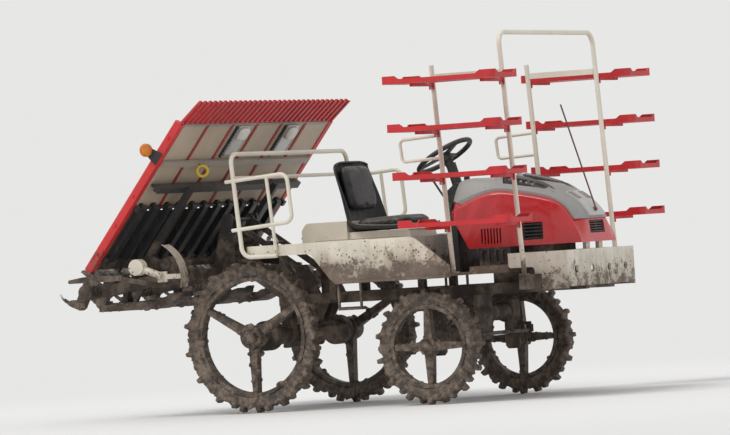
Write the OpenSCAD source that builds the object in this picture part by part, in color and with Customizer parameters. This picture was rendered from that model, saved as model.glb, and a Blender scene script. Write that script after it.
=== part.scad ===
// Six-row riding rice transplanter, planting section raised.
// +X runs forward, +Y to the machine's left and +Z up, with the ground at z = 0.
// Stations along the machine are written as distances ahead of the rear axle.

/* [Running gear] */
// Distance from rear axle to front axle
wheelbase = 1100; // [1080:5:1130]
// Distance between the wheel centres of one axle
track = 1200; // [1190:5:1230]
// Rear wheel diameter over the lugs
rear_wheel_d = 860; // [840:5:870]
// Rear wheel width over the lugs
rear_wheel_w = 130; // [110:5:140]
// Front wheel diameter over the lugs
front_wheel_d = 650; // [630:5:660]
// Front wheel width over the lugs
front_wheel_w = 110; // [90:5:116]
// Height of the lugs on both wheels
lug_h = 34; // [24:2:40]
// Thickness of a lug at its root
lug_t = 30; // [24:2:36]
// Number of lug pairs on a rear wheel
rear_lugs = 16; // [12:1:18]
// Number of lug pairs on a front wheel
front_lugs = 14; // [10:1:16]
// Depth of the rubber ring under the lugs
ring_depth = 58; // [50:2:64]
// Number of spokes of a rear wheel
rear_spokes = 3; // [3:1:5]
// Number of spokes of a front wheel
front_spokes = 4; // [3:1:6]
// Distance from wheel centre to kingpin axis
kingpin_offset = 120; // [115:1:130]
// Length of the steering arms
steer_arm = 110; // [90:5:125]

/* [Body] */
// Half width of the deck over the rear wheels
deck_half_w = 705; // [695:5:730]
// Height of the deck's walking surface
deck_z = 940; // [935:5:960]
// Depth of the deck's edge above the rear wheels
deck_edge = 62; // [50:2:64]
// Height of the footwell floor
footwell_z = 722; // [715:1:740]
// Sheet thickness of deck, skirts and front deck
deck_t = 14; // [8:1:20]
// Half width of the front deck
front_deck_half_w = 450; // [420:10:470]
// Height of the front deck
front_deck_z = 812; // [800:2:820]
// Reach of the front plate ahead of the rear axle
front_reach = 1900; // [1880:5:1950]
// Half width of the bonnet
bonnet_half_w = 232; // [220:2:240]
// Wall thickness of the bonnet
bonnet_t = 10; // [8:1:14]
// Number of louvres in each side of the bonnet
louvres = 7; // [4:1:9]
// Diameter of the steering wheel
steer_wheel_d = 360; // [330:10:390]
// Width of the seat
seat_w = 460; // [420:10:480]

/* [Racks and rails] */
// Distance of the rack posts inside the deck's edge
post_inset = 85; // [75:5:100]
// Outer diameter of the post tubes
post_d = 27; // [22:1:34]
// Height of the front hoop
hoop_z = 2050; // [1980:10:2120]
// Distance between front and rear posts
post_gap = 430; // [400:10:450]
// Lean of the posts towards the rear
post_lean = 3; // [0:0.5:5]
// Distance from the posts out to the middle of the rack trays
rack_offset = 275; // [265:5:295]
// Length of one rack tray
rack_l = 690; // [640:10:720]
// Width of one rack tray
rack_w = 320; // [290:10:330]
// Height of the lowest rack tray
rack_z = 985; // [975:5:1000]
// Distance between rack levels
rack_pitch = 265; // [255:5:275]
// Height of a rack tray's rim between its humps
rack_rim = 26; // [20:1:34]
// Height of the humps at a rack tray's ends
rack_hump = 44; // [38:1:50]
// Diameter of the handrail tubes
rail_d = 25; // [20:1:30]
// Height of the rear handrail
rail_z = 1465; // [1420:5:1500]

/* [Planting section] */
// Distance between planted rows
row_gap = 300; // [290:5:306]
// Slope of the seedling tray
tray_angle = 51.3; // [49:0.1:54]
// Length of the seedling tray's main bed
tray_l = 1000; // [960:10:1040]
// Length of the ribbed tray extension
ext_l = 170; // [140:5:190]
// Slope of the ribbed tray extension
ext_angle = 40.5; // [36:0.5:48]
// Distance between the extension's ribs
rib_pitch = 60; // [40:5:80]
// Depth of the tray's side rails
tray_rail_h = 50; // [40:2:60]
// Width of the tray's side rails
tray_rail_w = 48; // [30:2:60]
// Height of the dividers between the seedling lanes
divider_h = 34; // [28:2:44]
// Length of the feed belts at the lanes' lower ends
belt_l = 400; // [300:10:430]
// Radius swept by the planting claws
claw_r = 150; // [135:1:152]
// Length of the lift links between pins
link_l = 550; // [530:5:570]
// Angle of the lift links in the raised position
link_raise = 35; // [32:1:36]
// Diameter of the lift link pins
link_pin_d = 24; // [20:1:28]

/* [Hidden] */
$fn = 48;
eps = 0.01;
seat_gap = 0.3;        // clearance of pieces that seat on each other
run_gap = 0.06;        // radial clearance of pins and shafts in their bores
rows = 6;

// Longitudinal stations are ahead of the rear axle, so xr places them in the frame.
rotor_u = -1000;
rotor_z = 735;
rear_reach = claw_r - rotor_u;
xr = (rear_reach - front_reach) / 2;
rear_r = rear_wheel_d / 2;
front_r = front_wheel_d / 2;
wheel_y = track / 2;
kingpin_y = wheel_y - kingpin_offset;
post_y = deck_half_w - post_inset;
rack_y = post_y + rack_offset;

// Chassis rails and the stations of their cross members
frame_rail_y = 170;
frame_rail_w = 50;
frame_rail_h = 60;
frame_rail_z = 590;
frame_rear_u = -40;
frame_front_u = front_reach - deck_t - seat_gap;
frame_top = frame_rail_z + frame_rail_h;
beam_u = front_reach - 185;
beam_w = 50;
beam_top = frame_top + 40;
cross_rear_u = 150;
cross_mid_u = 560;
cross_inset = 4;

// Lift linkage: rear pins on the planting section, front pins on the chassis
hitch_u = -360;
hitch_low_z = 860;
hitch_gap = 240;
link_y = 120;
ear_y = link_y + 34;
ear_t = 14;
link_dx = link_l * cos(link_raise);
link_dz = link_l * sin(link_raise);
pivot_u = hitch_u + link_dx;
pivot_low_z = hitch_low_z - link_dz;
pivot_up_z = pivot_low_z + hitch_gap;
link_t = 16;
link_h = 34;
link_eye_d = 52;

// Lift cylinder between the chassis and the upper link
cyl_u = 120;
cyl_z = 505;
cyl_crank = 300;
cyl_pin_d = 20;
cyl_pin_u = pivot_u - cyl_crank * cos(link_raise);
cyl_pin_z = pivot_up_z + cyl_crank * sin(link_raise);
cyl_angle = atan2(cyl_pin_z - cyl_z, cyl_u - cyl_pin_u);
cyl_len = norm([cyl_pin_u - cyl_u, cyl_pin_z - cyl_z]);
barrel_d = 56;
rod_d = 26;
barrel_l = 300;
cyl_ear_y = 38;

// Gear case, axle tubes, the housings over the kingpins and the steering linkage
case_half_w = 118;
axle_flange_y = 430;
axle_tube_d = 92;
axle_tube_z = 480;
housing_low = axle_tube_z - axle_tube_d / 2 - 4;
housing_top = 544;
housing_d = 96;
arm_z = 400;
arm_t = 16;
steer_pin_d = 20;
tie_z = 368;
front_bore = 40;
rear_bore = 44;

// Deck from its rear corner past the riser to the footwell, and the front deck
deck_rear_u = 20;
deck_corner = 60;
footwell_end = wheelbase + 200;
deck_split_u = beam_u - 175;
step_u = 590;
cover_y = 330;
pad_t = 3;
plate_holes = [110, 330];
plate_hole_z = 705;
plate_hole_d = 46;

// Console and bonnet, whose lines follow its length and height
console_u = 1030;
console_z = 1160;
console_half_w = 150;
riser_u = console_u - 100;   // rear wall of the footwell
lever_y = 190;
lever_hub_t = 12;
lever_hub_d = 34;
lever_knob_d = 34;
lever_d = 12;
bonnet_low_z = 850;
bonnet_h = 385;
bonnet_rear_u = console_u + 75;
bonnet_front_u = front_reach - 5;
bonnet_l = bonnet_front_u - bonnet_rear_u;
bonnet_hinge_u = front_reach - 30;
crown_half_w = 96;
crown_edge = 0.87 * bonnet_half_w;
crown_t = 8;
hood_u = bonnet_rear_u + 0.33 * bonnet_l;
hood_y0 = 112;
hood_y1 = 172;
hood_h = 30;
hood_slats = 6;
panel_t = 14;
grille_half_w = 96;
grille_z = 900;
grille_h = 70;
louvre_pitch = 19;
vent_u = bonnet_rear_u + 0.548 * bonnet_l;
vent_l = 125;
vent_z = 881;
vent_h = 96;
lamp_w = 66;
lamp_h = 54;

// Steering wheel and its column
steer_u = console_u - 60;
steer_z = 1385;
steer_tilt = 30;
steer_hub_h = 36;

// Heights on the posts: grab loops and flat cross bars
loop_z = 1490;
loop_drop = 135;
loop_l = 245;
cross_z = 1815;
rack_floor = 6;
hump_l = 110;
post_top = hoop_z - 170;

// Toolbar, planting cases and float pivots of the planting section
bar_u = -440;
bar_z = 800;
bar_h = 60;
bar_half_l = 820;
guide_half_l = 980;
rotor_shaft_d = 30;
float_z = 620;
float_pin_u = -800;
float_pin_z = 684;
float_pin_d = 14;
side_float_y = 2 * row_gap;
float_half_w = 92;
drive_u = -515;
drive_z = 872;
drive_d = 38;

// Planting head: gear case from case_in to case_out inside the lane's middle, arms
// from there out to arm_out, and claws whose tips turn at claw_r
case_in = 16;
case_out = 46;
arm_out = 12;
arm_pin_x = 78;
head_half_l = 108;
claw_gap = 7;
claw_t = 4;
claw_angle = -62;
head_rest = claw_angle - 180;

// Seedling tray: foot of its bed, with s up the slope and t towards the seedlings
tray_foot_u = -835;
tray_foot_z = 862;
lane_inset = 12;
lane_t = 8;
tray_low_t = -6;
guide_s = -34;
guide_t = 14;
tray_shoe_s = guide_s + guide_t + seat_gap;
tray_inner = rows * row_gap / 2 - lane_inset + seat_gap;
tray_out = tray_inner + tray_rail_w;
beam_s = tray_l - 275;
belt_s = 60;
belt_depth = 44;
belt_w = 54;
belt_gap = 3;
belt_places = [-70, 70];
tooth_pitch = 50;
shaft_d = 16;
rib_h = 14;
sheet_t = 6;
lamp_s = tray_l - 234;
lamp_t = 92;
lamp_d = 75;
strut_t = -62;
strut_d = 32;
strut_y = 520;
support_s = 575;
support_half_l = 860;

cream = [0.90, 0.86, 0.76];
red = [0.78, 0.10, 0.12];
tan_panel = [0.68, 0.60, 0.50];
black = [0.08, 0.08, 0.09];
dark = [0.16, 0.15, 0.15];
mud = [0.26, 0.20, 0.16];
grey = [0.62, 0.62, 0.60];
amber = [0.95, 0.45, 0.08];
glass = [0.85, 0.88, 0.90];

// Places a shape at a station ahead of the rear axle.
module at(u, y = 0, z = 0) {
  translate([xr + u, y, z]) children();
}

// The right-hand shape and its mirror image on the left.
module both_sides() {
  for (side = [-1, 1]) on_side(side) children();
}

module on_side(side) {
  if (side > 0) children();
  else mirror([0, 1, 0]) children();
}

// Box between stations u0..u1, sides y0..y1 and heights z0..z1.
module block(u0, u1, y0, y1, z0, z1) {
  translate([xr + u0, y0, z0]) cube([u1 - u0, y1 - y0, z1 - z0]);
}

// Profile in stations and heights, extruded across the machine from y0 to y1.
module side_form(y0, y1) {
  translate([xr, y1, 0]) rotate([90, 0, 0]) linear_extrude(y1 - y0) children();
}

// Round bar across the machine.
module cross_bar(u, z, y0, y1, d) {
  at(u, y1, z) rotate([90, 0, 0]) cylinder(d = d, h = y1 - y0);
}

// Straight round tube between two points of the frame.
module rod_between(a, b, d) {
  v = b - a;
  translate(a) rotate([0, acos(v[2] / norm(v)), atan2(v[1], v[0])]) cylinder(d = d, h = norm(v));
}

function at_u(u, y, z) = [xr + u, y, z];
function unit(v) = v / norm(v);

// Distance from a corner to where its bend starts.
function bend_reach(p0, p1, p2, r) = r * tan((180 - corner_angle(p0, p1, p2)) / 2);
function corner_angle(p0, p1, p2) = acos(unit(p0 - p1) * unit(p2 - p1));

// Round bend of a tube at the middle of three points.
bend_swell = 0.5;
bend_lap = 2;
module tube_bend(p0, p1, p2, r, d) {
  in = unit(p0 - p1);
  out = unit(p2 - p1);
  half = corner_angle(p0, p1, p2) / 2;
  centre = p1 + unit(in + out) * r / sin(half);
  ax = unit(p1 + in * bend_reach(p0, p1, p2, r) - centre);
  bx = unit(p1 + out * bend_reach(p0, p1, p2, r) - centre);
  n = unit(cross(ax, bx));
  ay = cross(n, ax);
  multmatrix([[ax[0], ay[0], n[0], centre[0]], [ax[1], ay[1], n[1], centre[1]],
              [ax[2], ay[2], n[2], centre[2]], [0, 0, 0, 1]])
    rotate_extrude(angle = 180 - 2 * half) translate([r, 0]) circle(d = d + bend_swell);
}

// Tube along corner points, bent to radius r at each inner corner. A bend is a
// hair thicker than the straights, which reach bend_lap into it.
module tube_path(points, d, r) {
  last = len(points) - 1;
  for (i = [0 : last - 1]) {
    along = unit(points[i + 1] - points[i]);
    start = i == 0 ? 0 : bend_reach(points[i - 1], points[i], points[i + 1], r) - bend_lap;
    stop = i == last - 1 ? 0
         : bend_reach(points[i], points[i + 1], points[i + 2], r) - bend_lap;
    rod_between(points[i] + along * start, points[i + 1] - along * stop, d);
  }
  for (i = [1 : last - 1]) tube_bend(points[i - 1], points[i], points[i + 1], r, d);
}

// Rounded rectangle around the origin.
module round_rect(l, w, r) {
  translate([-l / 2 + r, -w / 2]) square([l - 2 * r, w]);
  translate([-l / 2, -w / 2 + r]) square([l, w - 2 * r]);
  for (x = [-1, 1], y = [-1, 1]) translate([x * (l / 2 - r), y * (w / 2 - r)]) circle(r = r);
}

// Points of an arc of radius r that rounds the corner b between a and c.
function corner_arc(a, b, c, r, steps) =
  let (in = unit(a - b), out = unit(c - b), half = acos(in * out) / 2,
       centre = b + unit(in + out) * r / sin(half),
       s = b + in * (r / tan(half)) - centre, e = b + out * (r / tan(half)) - centre,
       a0 = atan2(s[1], s[0]), sweep = (atan2(e[1], e[0]) - a0 + 540) % 360 - 180)
  [for (k = [0 : steps]) centre + r * [cos(a0 + sweep * k / steps), sin(a0 + sweep * k / steps)]];

// Outline whose corners are rounded; each row is a corner's two places and its radius.
function rounded(rows, steps = 4) =
  [for (i = [0 : len(rows) - 1])
    let (n = len(rows), a = rows[(i + n - 1) % n], b = rows[i], c = rows[(i + 1) % n])
    each (b[2] == 0 ? [[b[0], b[1]]]
          : corner_arc([a[0], a[1]], [b[0], b[1]], [c[0], c[1]], b[2], steps))];

// Closed skin over rings of points, each with the same number of points.
module skin(rings) {
  n = len(rings[0]);
  m = len(rings);
  sides = [for (i = [0 : m - 2], j = [0 : n - 1])
    let (a = i * n + j, b = i * n + (j + 1) % n)
    each [[a, b + n, b], [a, a + n, b + n]]];
  polyhedron([for (ring = rings) each ring],
             concat([[for (j = [0 : n - 1]) j]], sides, [[for (j = [n - 1 : -1 : 0]) (m - 1) * n + j]]));
}

// Chassis
module main_frame() {
  color(dark) union() {
    for (side = [-1, 1])
      block(frame_rear_u, frame_front_u, side * frame_rail_y - frame_rail_w / 2,
            side * frame_rail_y + frame_rail_w / 2, frame_rail_z, frame_top);
    for (u = [cross_rear_u, cross_mid_u, frame_front_u - frame_rail_w])
      block(u, u + frame_rail_w, -frame_rail_y, frame_rail_y, frame_rail_z + cross_inset,
            frame_top - cross_inset);
    rack_beam();
    link_ears();
    cylinder_ears();
    deck_supports();
  }
}

// Beam under the front deck that carries the front posts.
module rack_beam() {
  block(beam_u - beam_w / 2, beam_u + beam_w / 2, -post_y - 22, post_y + 22,
        frame_rail_z + 20, beam_top);
}

// Plates at the rear of the chassis with the bores for the lift links.
module link_ears() {
  for (side = [-1, 1])
    difference() {
      side_form(side * ear_y - ear_t / 2, side * ear_y + ear_t / 2)
        polygon([[pivot_u - 30, pivot_low_z - 34], [pivot_u + 40, pivot_low_z - 34],
                 [pivot_u + 120, frame_top], [pivot_u + 40, pivot_up_z + 34],
                 [pivot_u - 30, pivot_up_z + 34]]);
      for (z = [pivot_low_z, pivot_up_z])
        cross_bar(pivot_u, z, side * ear_y - ear_t, side * ear_y + ear_t, link_pin_d);
    }
}

// Ears for the foot of the lift cylinder.
module cylinder_ears() {
  for (side = [-1, 1])
    difference() {
      side_form(side * cyl_ear_y - 6, side * cyl_ear_y + 6)
        polygon([[cyl_u - 22, cyl_z - 22], [cyl_u + 22, cyl_z - 22],
                 [cyl_u + 80, frame_rail_z + 8], [cyl_u + 80, frame_top - 10],
                 [cyl_u + 34, frame_top - 10], [cyl_u - 22, cyl_z + 22]]);
      cross_bar(cyl_u, cyl_z, side * cyl_ear_y - 10, side * cyl_ear_y + 10, cyl_pin_d);
    }
}

// Uprights between the chassis rails and the deck, each a station and the sheet above it.
module deck_supports() {
  for (side = [-1, 1], stand = [[300, deck_z], [860, footwell_z]])
    block(stand[0], stand[0] + 40, side * (frame_rail_y + 30) - 20, side * (frame_rail_y + 30) + 20,
          frame_rail_z + 10, stand[1] - deck_t - seat_gap);
}

// Gear case between the front wheels, hung from the rails by its top flange.
module transmission_case() {
  color(dark) difference() {
    union() {
      side_form(-case_half_w, case_half_w)
        polygon(rounded([[wheelbase - 190, 372, 30], [wheelbase - 120, 330, 20],
                         [wheelbase + 52, 330, 34], [wheelbase + 52, frame_rail_z - seat_gap, 0],
                         [wheelbase - 190, frame_rail_z - seat_gap, 0]]));
      block(wheelbase - 170, wheelbase + 30, -frame_rail_y - 20, frame_rail_y + 20,
            frame_rail_z - 16, frame_rail_z - seat_gap);
      cross_bar(wheelbase, axle_tube_z, -case_half_w - 14, case_half_w + 14, axle_tube_d + 36);
      cross_bar(wheelbase - 110, 440, -case_half_w - 8, case_half_w + 8, 96);
    }
    cross_bar(wheelbase, axle_tube_z, -case_half_w - 15, case_half_w + 15,
              axle_tube_d + 2 * seat_gap);
  }
}

module front_axle_case() {
  color(dark) union() {
    cross_bar(wheelbase, axle_tube_z, -kingpin_y, kingpin_y, axle_tube_d);
    both_sides() at(wheelbase, kingpin_y, housing_low)
      cylinder(d = housing_d, h = housing_top - housing_low);
    both_sides() at(wheelbase, kingpin_y, housing_top) cylinder(d1 = housing_d, d2 = 60, h = 22);
    both_sides() cross_bar(wheelbase, axle_tube_z, kingpin_y - 92, kingpin_y - 78, axle_tube_d + 26);
  }
}

module rear_axle_case() {
  color(dark) union() {
    cross_bar(0, rear_r, -axle_flange_y, axle_flange_y, 86);
    both_sides() cross_bar(0, rear_r, 190, axle_flange_y, 112);
    both_sides() cross_bar(0, rear_r, axle_flange_y - 30, axle_flange_y + 40, 170);
    both_sides() cross_bar(0, rear_r, axle_flange_y + 30, wheel_y - rear_wheel_w * 0.35 - 5, 90);
    both_sides() cross_bar(0, rear_r, axle_flange_y + 30, wheel_y + 40, rear_bore - 2 * run_gap);
    for (side = [-1, 1])
      block(-38, 38, side * frame_rail_y - 20, side * frame_rail_y + 20, rear_r,
            frame_rail_z - seat_gap);
    side_form(-95, 95) polygon(rounded([[-60, rear_r - 75, 24], [90, rear_r - 75, 24],
                                        [90, rear_r + 40, 16], [-60, rear_r + 40, 16]]));
    block(60, 260, -60, 60, rear_r - 50, rear_r + 30);
  }
}

// The engine is closed in, so it is one plain block of its real size.
module engine_block() {
  color(dark) block(nose_u(0.25), nose_u(0.73), -150, 150, frame_top + seat_gap, 1020);
}

// Deck edge seen from the side, from the rear corner down to the footwell.
module deck_side_profile() {
  polygon(rounded([
    [deck_rear_u + deck_corner, deck_z, 0], [deck_rear_u + deck_corner, deck_z - deck_edge, 0],
    [440, deck_z - deck_edge, 40], [556, footwell_z + 6, 60],
    [590, footwell_z - deck_t - 8, 12], [footwell_end, footwell_z - deck_t - 8, 10],
    [footwell_end, footwell_z + 48, 14], [1095, deck_z - 12, 24], [1060, deck_z, 0]]));
}

// Plan of the deck with its rear corners rounded.
module deck_plan(inset) {
  r = deck_corner - inset;
  half_w = deck_half_w - inset;
  u0 = xr + deck_rear_u + inset;
  translate([u0 + r, -half_w]) square([riser_u - deck_rear_u - deck_corner, 2 * half_w]);
  translate([u0, -half_w + r]) square([2 * r, 2 * (half_w - r)]);
  for (y = [-1, 1]) translate([u0 + r, y * (half_w - r)]) circle(r = r);
}

module floor_deck() {
  color(cream) union() {
    both_sides() side_form(deck_half_w - deck_t, deck_half_w) deck_side_profile();
    translate([0, 0, deck_z - deck_t]) linear_extrude(deck_t) deck_plan(eps);
    translate([0, 0, deck_z - deck_edge + eps]) linear_extrude(deck_edge - 2 * eps) difference() {
      deck_plan(eps);
      deck_plan(deck_t);
      translate([xr + deck_rear_u + deck_corner + 20, -deck_half_w]) square([riser_u, 2 * deck_half_w]);
    }
    block(riser_u - deck_t, riser_u, -deck_half_w + eps, deck_half_w - eps,
          footwell_z - deck_t, deck_z - eps);
    block(riser_u - deck_t, footwell_end, -deck_half_w + eps, deck_half_w - eps,
          footwell_z - deck_t, footwell_z);
    both_sides() block(footwell_end - eps, deck_split_u, 260, front_deck_half_w,
                       footwell_z - deck_t, footwell_z + 30);
    both_sides() side_form(deck_half_w - eps, deck_half_w + 5)
      polygon(rounded([[604, footwell_z - 20, 8], [footwell_end - 8, footwell_z - 20, 8],
                       [footwell_end - 8, footwell_z - 4, 8], [604, footwell_z - 4, 8]]));
    mats();
  }
}

// Raised foot mats: two beside the seat and two in the footwell.
module mats() {
  both_sides() translate([xr + 620, 450, deck_z - eps]) linear_extrude(pad_t + eps)
    round_rect(360, 380, 30);
  both_sides() translate([xr + 1060, 410, footwell_z - eps]) linear_extrude(pad_t + eps)
    round_rect(220, 280, 24);
}

// Front deck with its side returns and the drilled plate across the nose.
module front_deck() {
  low = front_deck_z - 212;
  color(cream) difference() {
    union() {
      block(deck_split_u + seat_gap, front_reach, -front_deck_half_w, front_deck_half_w,
            front_deck_z - deck_t, front_deck_z);
      both_sides() side_form(front_deck_half_w - deck_t, front_deck_half_w)
        polygon(rounded([
          [deck_split_u + seat_gap, front_deck_z - eps, 0], [deck_split_u + seat_gap, 730, 16],
          [beam_u - 15, 730, 20], [beam_u - 15, 640, 24], [beam_u + 25, low, 24],
          [front_reach, low, 0], [front_reach, front_deck_z - eps, 0]]));
      block(front_reach - deck_t, front_reach, -front_deck_half_w + eps, front_deck_half_w - eps,
            low + 10, front_deck_z - eps);
      both_sides() block(bonnet_hinge_u - 25, bonnet_hinge_u - 4, 60, 110, front_deck_z - eps,
                         bonnet_low_z - seat_gap);
    }
    block(deck_split_u - 40, bonnet_hinge_u - 40, -bonnet_half_w - 12, bonnet_half_w + 12,
          front_deck_z - 60, front_deck_z + 60);
    for (y = plate_holes) both_sides()
      at(front_reach - 40, y, plate_hole_z) rotate([0, 90, 0]) cylinder(d = plate_hole_d, h = 80);
    both_sides() block(beam_u - beam_w / 2 - 1, beam_u + beam_w / 2 + 1, front_deck_half_w - 50,
                       front_deck_half_w + 50, frame_rail_z, beam_top + 1);
  }
}

module foot_steps() {
  inner = deck_half_w - deck_t - seat_gap;
  low = footwell_z - 170;
  color(dark) both_sides() union() {
    block(step_u, step_u + 150, inner - 70, inner, low, low + 12);
    for (u = [step_u, step_u + 138]) block(u, u + 12, inner - 12, inner, low, footwell_z + 60);
    for (y = [20, 40, 60]) block(step_u + 6, step_u + 144, inner - y - 4, inner - y, low + 10, low + 18);
  }
}

// Louvred covers beside the engine, under the bonnet's edges.
module side_covers() {
  low = footwell_z + 30 + seat_gap;
  high = bonnet_low_z - seat_gap;
  rear = footwell_end + 10;
  front = deck_split_u - 40;
  pitch = (front - rear - 22) / 4;
  color(dark) both_sides() difference() {
    block(rear, front, frame_rail_y, cover_y, low, high);
    for (i = [0 : 3])
      block(rear + 20 + i * pitch, rear + 20 + (i + 0.62) * pitch, cover_y - 8, cover_y + 1,
            low + 16, high - 16);
  }
}

// Cream box behind the seat and the lower box under its cushion.
module seat_base() {
  color(cream) union() {
    side_form(-190, 190) polygon(rounded([[130, deck_z + seat_gap, 0], [420, deck_z + seat_gap, 0],
      [420, 1050, 0], [160, 1050, 34], [130, 1010, 20]]));
    side_form(-170, 170) polygon(rounded([[420 - eps, deck_z + seat_gap, 0],
      [810, deck_z + seat_gap, 0], [800, 985, 12], [420 - eps, 985, 0]]));
  }
}

// Outer form of the cushion and the backrest, which the scene upholsters.
module seat() {
  half = seat_w / 2;
  low = 985 + seat_gap;
  color(black) union() {
    side_form(-half, half) polygon(rounded([[420 + seat_gap, low, 0], [812, low, 22], [824, 1046, 26],
      [700, 1052, 40], [470, 1046, 20], [420 + seat_gap, 1050, 0]]));
    side_form(-half + 15, half - 15) polygon(rounded([[430, 1030, 0], [386, 1120, 60],
      [346, 1366, 22], [396, 1392, 22], [438, 1130, 60], [500, 1040, 0]]));
    for (side = [-1, 1]) side_form(side * (half - 22) - 20, side * (half - 22) + 20)
      polygon(rounded([[428, 1044, 6], [400, 1180, 24], [446, 1176, 24], [560, 1044, 10]]));
  }
}

// Console between the driver's feet, with the neck of the steering column.
module steering_column() {
  hub = steer_hub_h + seat_gap;
  neck = at_u(steer_u + 60 * sin(steer_tilt), 0, steer_z - 60 * cos(steer_tilt));
  color(dark) union() {
    side_form(-console_half_w, console_half_w) polygon(rounded([[console_u, footwell_z + seat_gap, 0],
      [console_u + 65, footwell_z + seat_gap, 0], [console_u + 65, console_z, 0],
      [console_u, console_z, 12]]));
    side_form(-120, 120) polygon(rounded([[console_u - 4, footwell_z + 230, 0],
      [console_u + 4, footwell_z + 220, 0], [console_u + 4, console_z - 20, 0],
      [console_u - 14, console_z - 30, 20]]));
    rod_between(neck, at_u(steer_u + hub * sin(steer_tilt), 0, steer_z - hub * cos(steer_tilt)), 52);
    rod_between(at_u(console_u + 38, 0, console_z - 40), neck + [6, 0, 4], 58);
  }
}

// Instrument panel around the steering column, sloping up to the bonnet.
module dashboard() {
  color(black) difference() {
    union() {
      side_form(-128, 128) polygon(rounded([[console_u - 4, console_z + seat_gap, 0],
        [console_u + 62, console_z + seat_gap, 0], [console_u + 66, console_z + 56, 14],
        [console_u + 40, console_z + 52, 20], [console_u - 4, console_z + 18, 8]]));
      both_sides() side_form(70, 120) polygon(rounded([[console_u + 8, console_z + 20, 0],
        [console_u + 62, console_z + 20, 0], [console_u + 62, console_z + 66, 8],
        [console_u + 50, console_z + 68, 8]]));
    }
    rod_between(at_u(console_u + 38, 0, console_z - 40),
                at_u(steer_u + 60 * sin(steer_tilt) + 6, 0, steer_z - 60 * cos(steer_tilt) + 4),
                58 + 2 * seat_gap);
  }
}

// Knob of a lever, rounded by two tapers.
module lever_knob(d) {
  translate([0, 0, -0.5 * d]) cylinder(d1 = 0.6 * d, d2 = d, h = 0.3 * d);
  translate([0, 0, -0.2 * d]) cylinder(d = d, h = 0.45 * d);
  translate([0, 0, 0.25 * d]) cylinder(d1 = d, d2 = 0.55 * d, h = 0.25 * d);
}

// Levers beside the console, each a foot, a knob and a side, from the console's top.
module shift_levers() {
  levers = [[[30, -60], [-70, 120], -1], [[45, -70], [-20, 90], 1], [[10, -120], [-80, 30], 1]];
  near = console_half_w + seat_gap;
  color(dark) for (row = levers) {
    place = [console_u, console_z];
    foot = place + row[0];
    knob = place + row[1];
    side = row[2];
    union() {
      cross_bar(foot[0], foot[1], min(side * near, side * (near + lever_hub_t)),
                max(side * near, side * (near + lever_hub_t)), lever_hub_d);
      rod_between(at_u(foot[0], side * (near + lever_hub_t / 2), foot[1]),
                  at_u(knob[0], side * lever_y, knob[1]), lever_d);
      translate(at_u(knob[0], side * lever_y, knob[1])) lever_knob(lever_knob_d);
    }
  }
}

// Sighting pole with its socket on the nose.
module sighting_pole() {
  i = pole_step;
  base = moved(crown_line, crown_t + panel_t + seat_gap)[i];
  tip = moved(crown_line, crown_t + panel_t + 12)[i];
  color(red) union() {
    rod_between(at_u(base[0], 0, base[1]), at_u(tip[0], 0, tip[1]), 26);
    rod_between(at_u(tip[0] - 3, 0, tip[1]), at_u(tip[0] - 180, 0, tip[1] + 590), 9);
  }
}

// Tube hoop behind the seat, with its legs bent forward under the deck's edge,
// a cross rail at half height and a guard loop at each side.
module rear_handrail() {
  y = deck_half_w + rail_d / 2 + seat_gap;
  low = deck_z - deck_edge + 2;
  mid = rail_z - 135;
  top_u = -20;
  foot_u = 22;
  color(cream) union() {
    tube_path([at_u(240, -y, low), at_u(foot_u, -y, low), at_u(top_u, -y, rail_z),
               at_u(top_u, y, rail_z), at_u(foot_u, y, low), at_u(240, y, low)], rail_d, 60);
    rod_between(at_u(top_u + 8, -y, mid), at_u(top_u + 8, y, mid), rail_d - 4);
    for (side = [-1, 1]) {
      tube_path([at_u(-60, side * y, mid - 20), at_u(330, side * y, mid + 8),
                 at_u(350, side * y, mid - 265), at_u(-35, side * y, mid - 295)], rail_d - 3, 45);
      rod_between(at_u(200, side * y, mid), at_u(235, side * y, deck_z - 30), rail_d - 5);
    }
  }
}

// Station of a leaning post at a height, from the station of its foot.
function post_u(u_foot, z) = u_foot - (z - footwell_z) * tan(post_lean);

module rear_posts() {
  foot_u = beam_u - post_gap;
  loop_u = post_u(foot_u, loop_z);
  color(cream) for (side = [-1, 1]) union() {
    rod_between(at_u(post_u(foot_u, footwell_z + 4), side * post_y, footwell_z + 4),
                at_u(post_u(foot_u, post_top), side * post_y, post_top), post_d);
    block(foot_u - 30, foot_u + 20, side * post_y - 30, side * post_y + 30,
          footwell_z + seat_gap, footwell_z + 8);
    block(post_u(foot_u, cross_z), post_u(beam_u, cross_z + 16) - post_d / 2 - 2 * seat_gap,
          side * post_y - 5, side * post_y + 5, cross_z - 16, cross_z + 16);
    tube_path([at_u(loop_u, side * post_y, loop_z), at_u(loop_u - loop_l, side * post_y, loop_z - 14),
               at_u(loop_u - loop_l + 12, side * post_y, loop_z - loop_drop),
               at_u(loop_u + 6, side * post_y, loop_z - loop_drop + 10)], rail_d - 7, 25);
  }
}

module front_hoop() {
  foot = beam_top + 4;
  top = hoop_z - post_d / 2;
  color(cream) union() {
    tube_path([at_u(post_u(beam_u, foot), -post_y, foot), at_u(post_u(beam_u, hoop_z), -post_y, top),
               at_u(post_u(beam_u, hoop_z), post_y, top), at_u(post_u(beam_u, foot), post_y, foot)],
              post_d, 70);
    for (side = [-1, 1])
      block(beam_u - 24, beam_u + 24, side * post_y - 19, side * post_y + 19,
            beam_top + seat_gap, beam_top + 8);
  }
}

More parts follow.
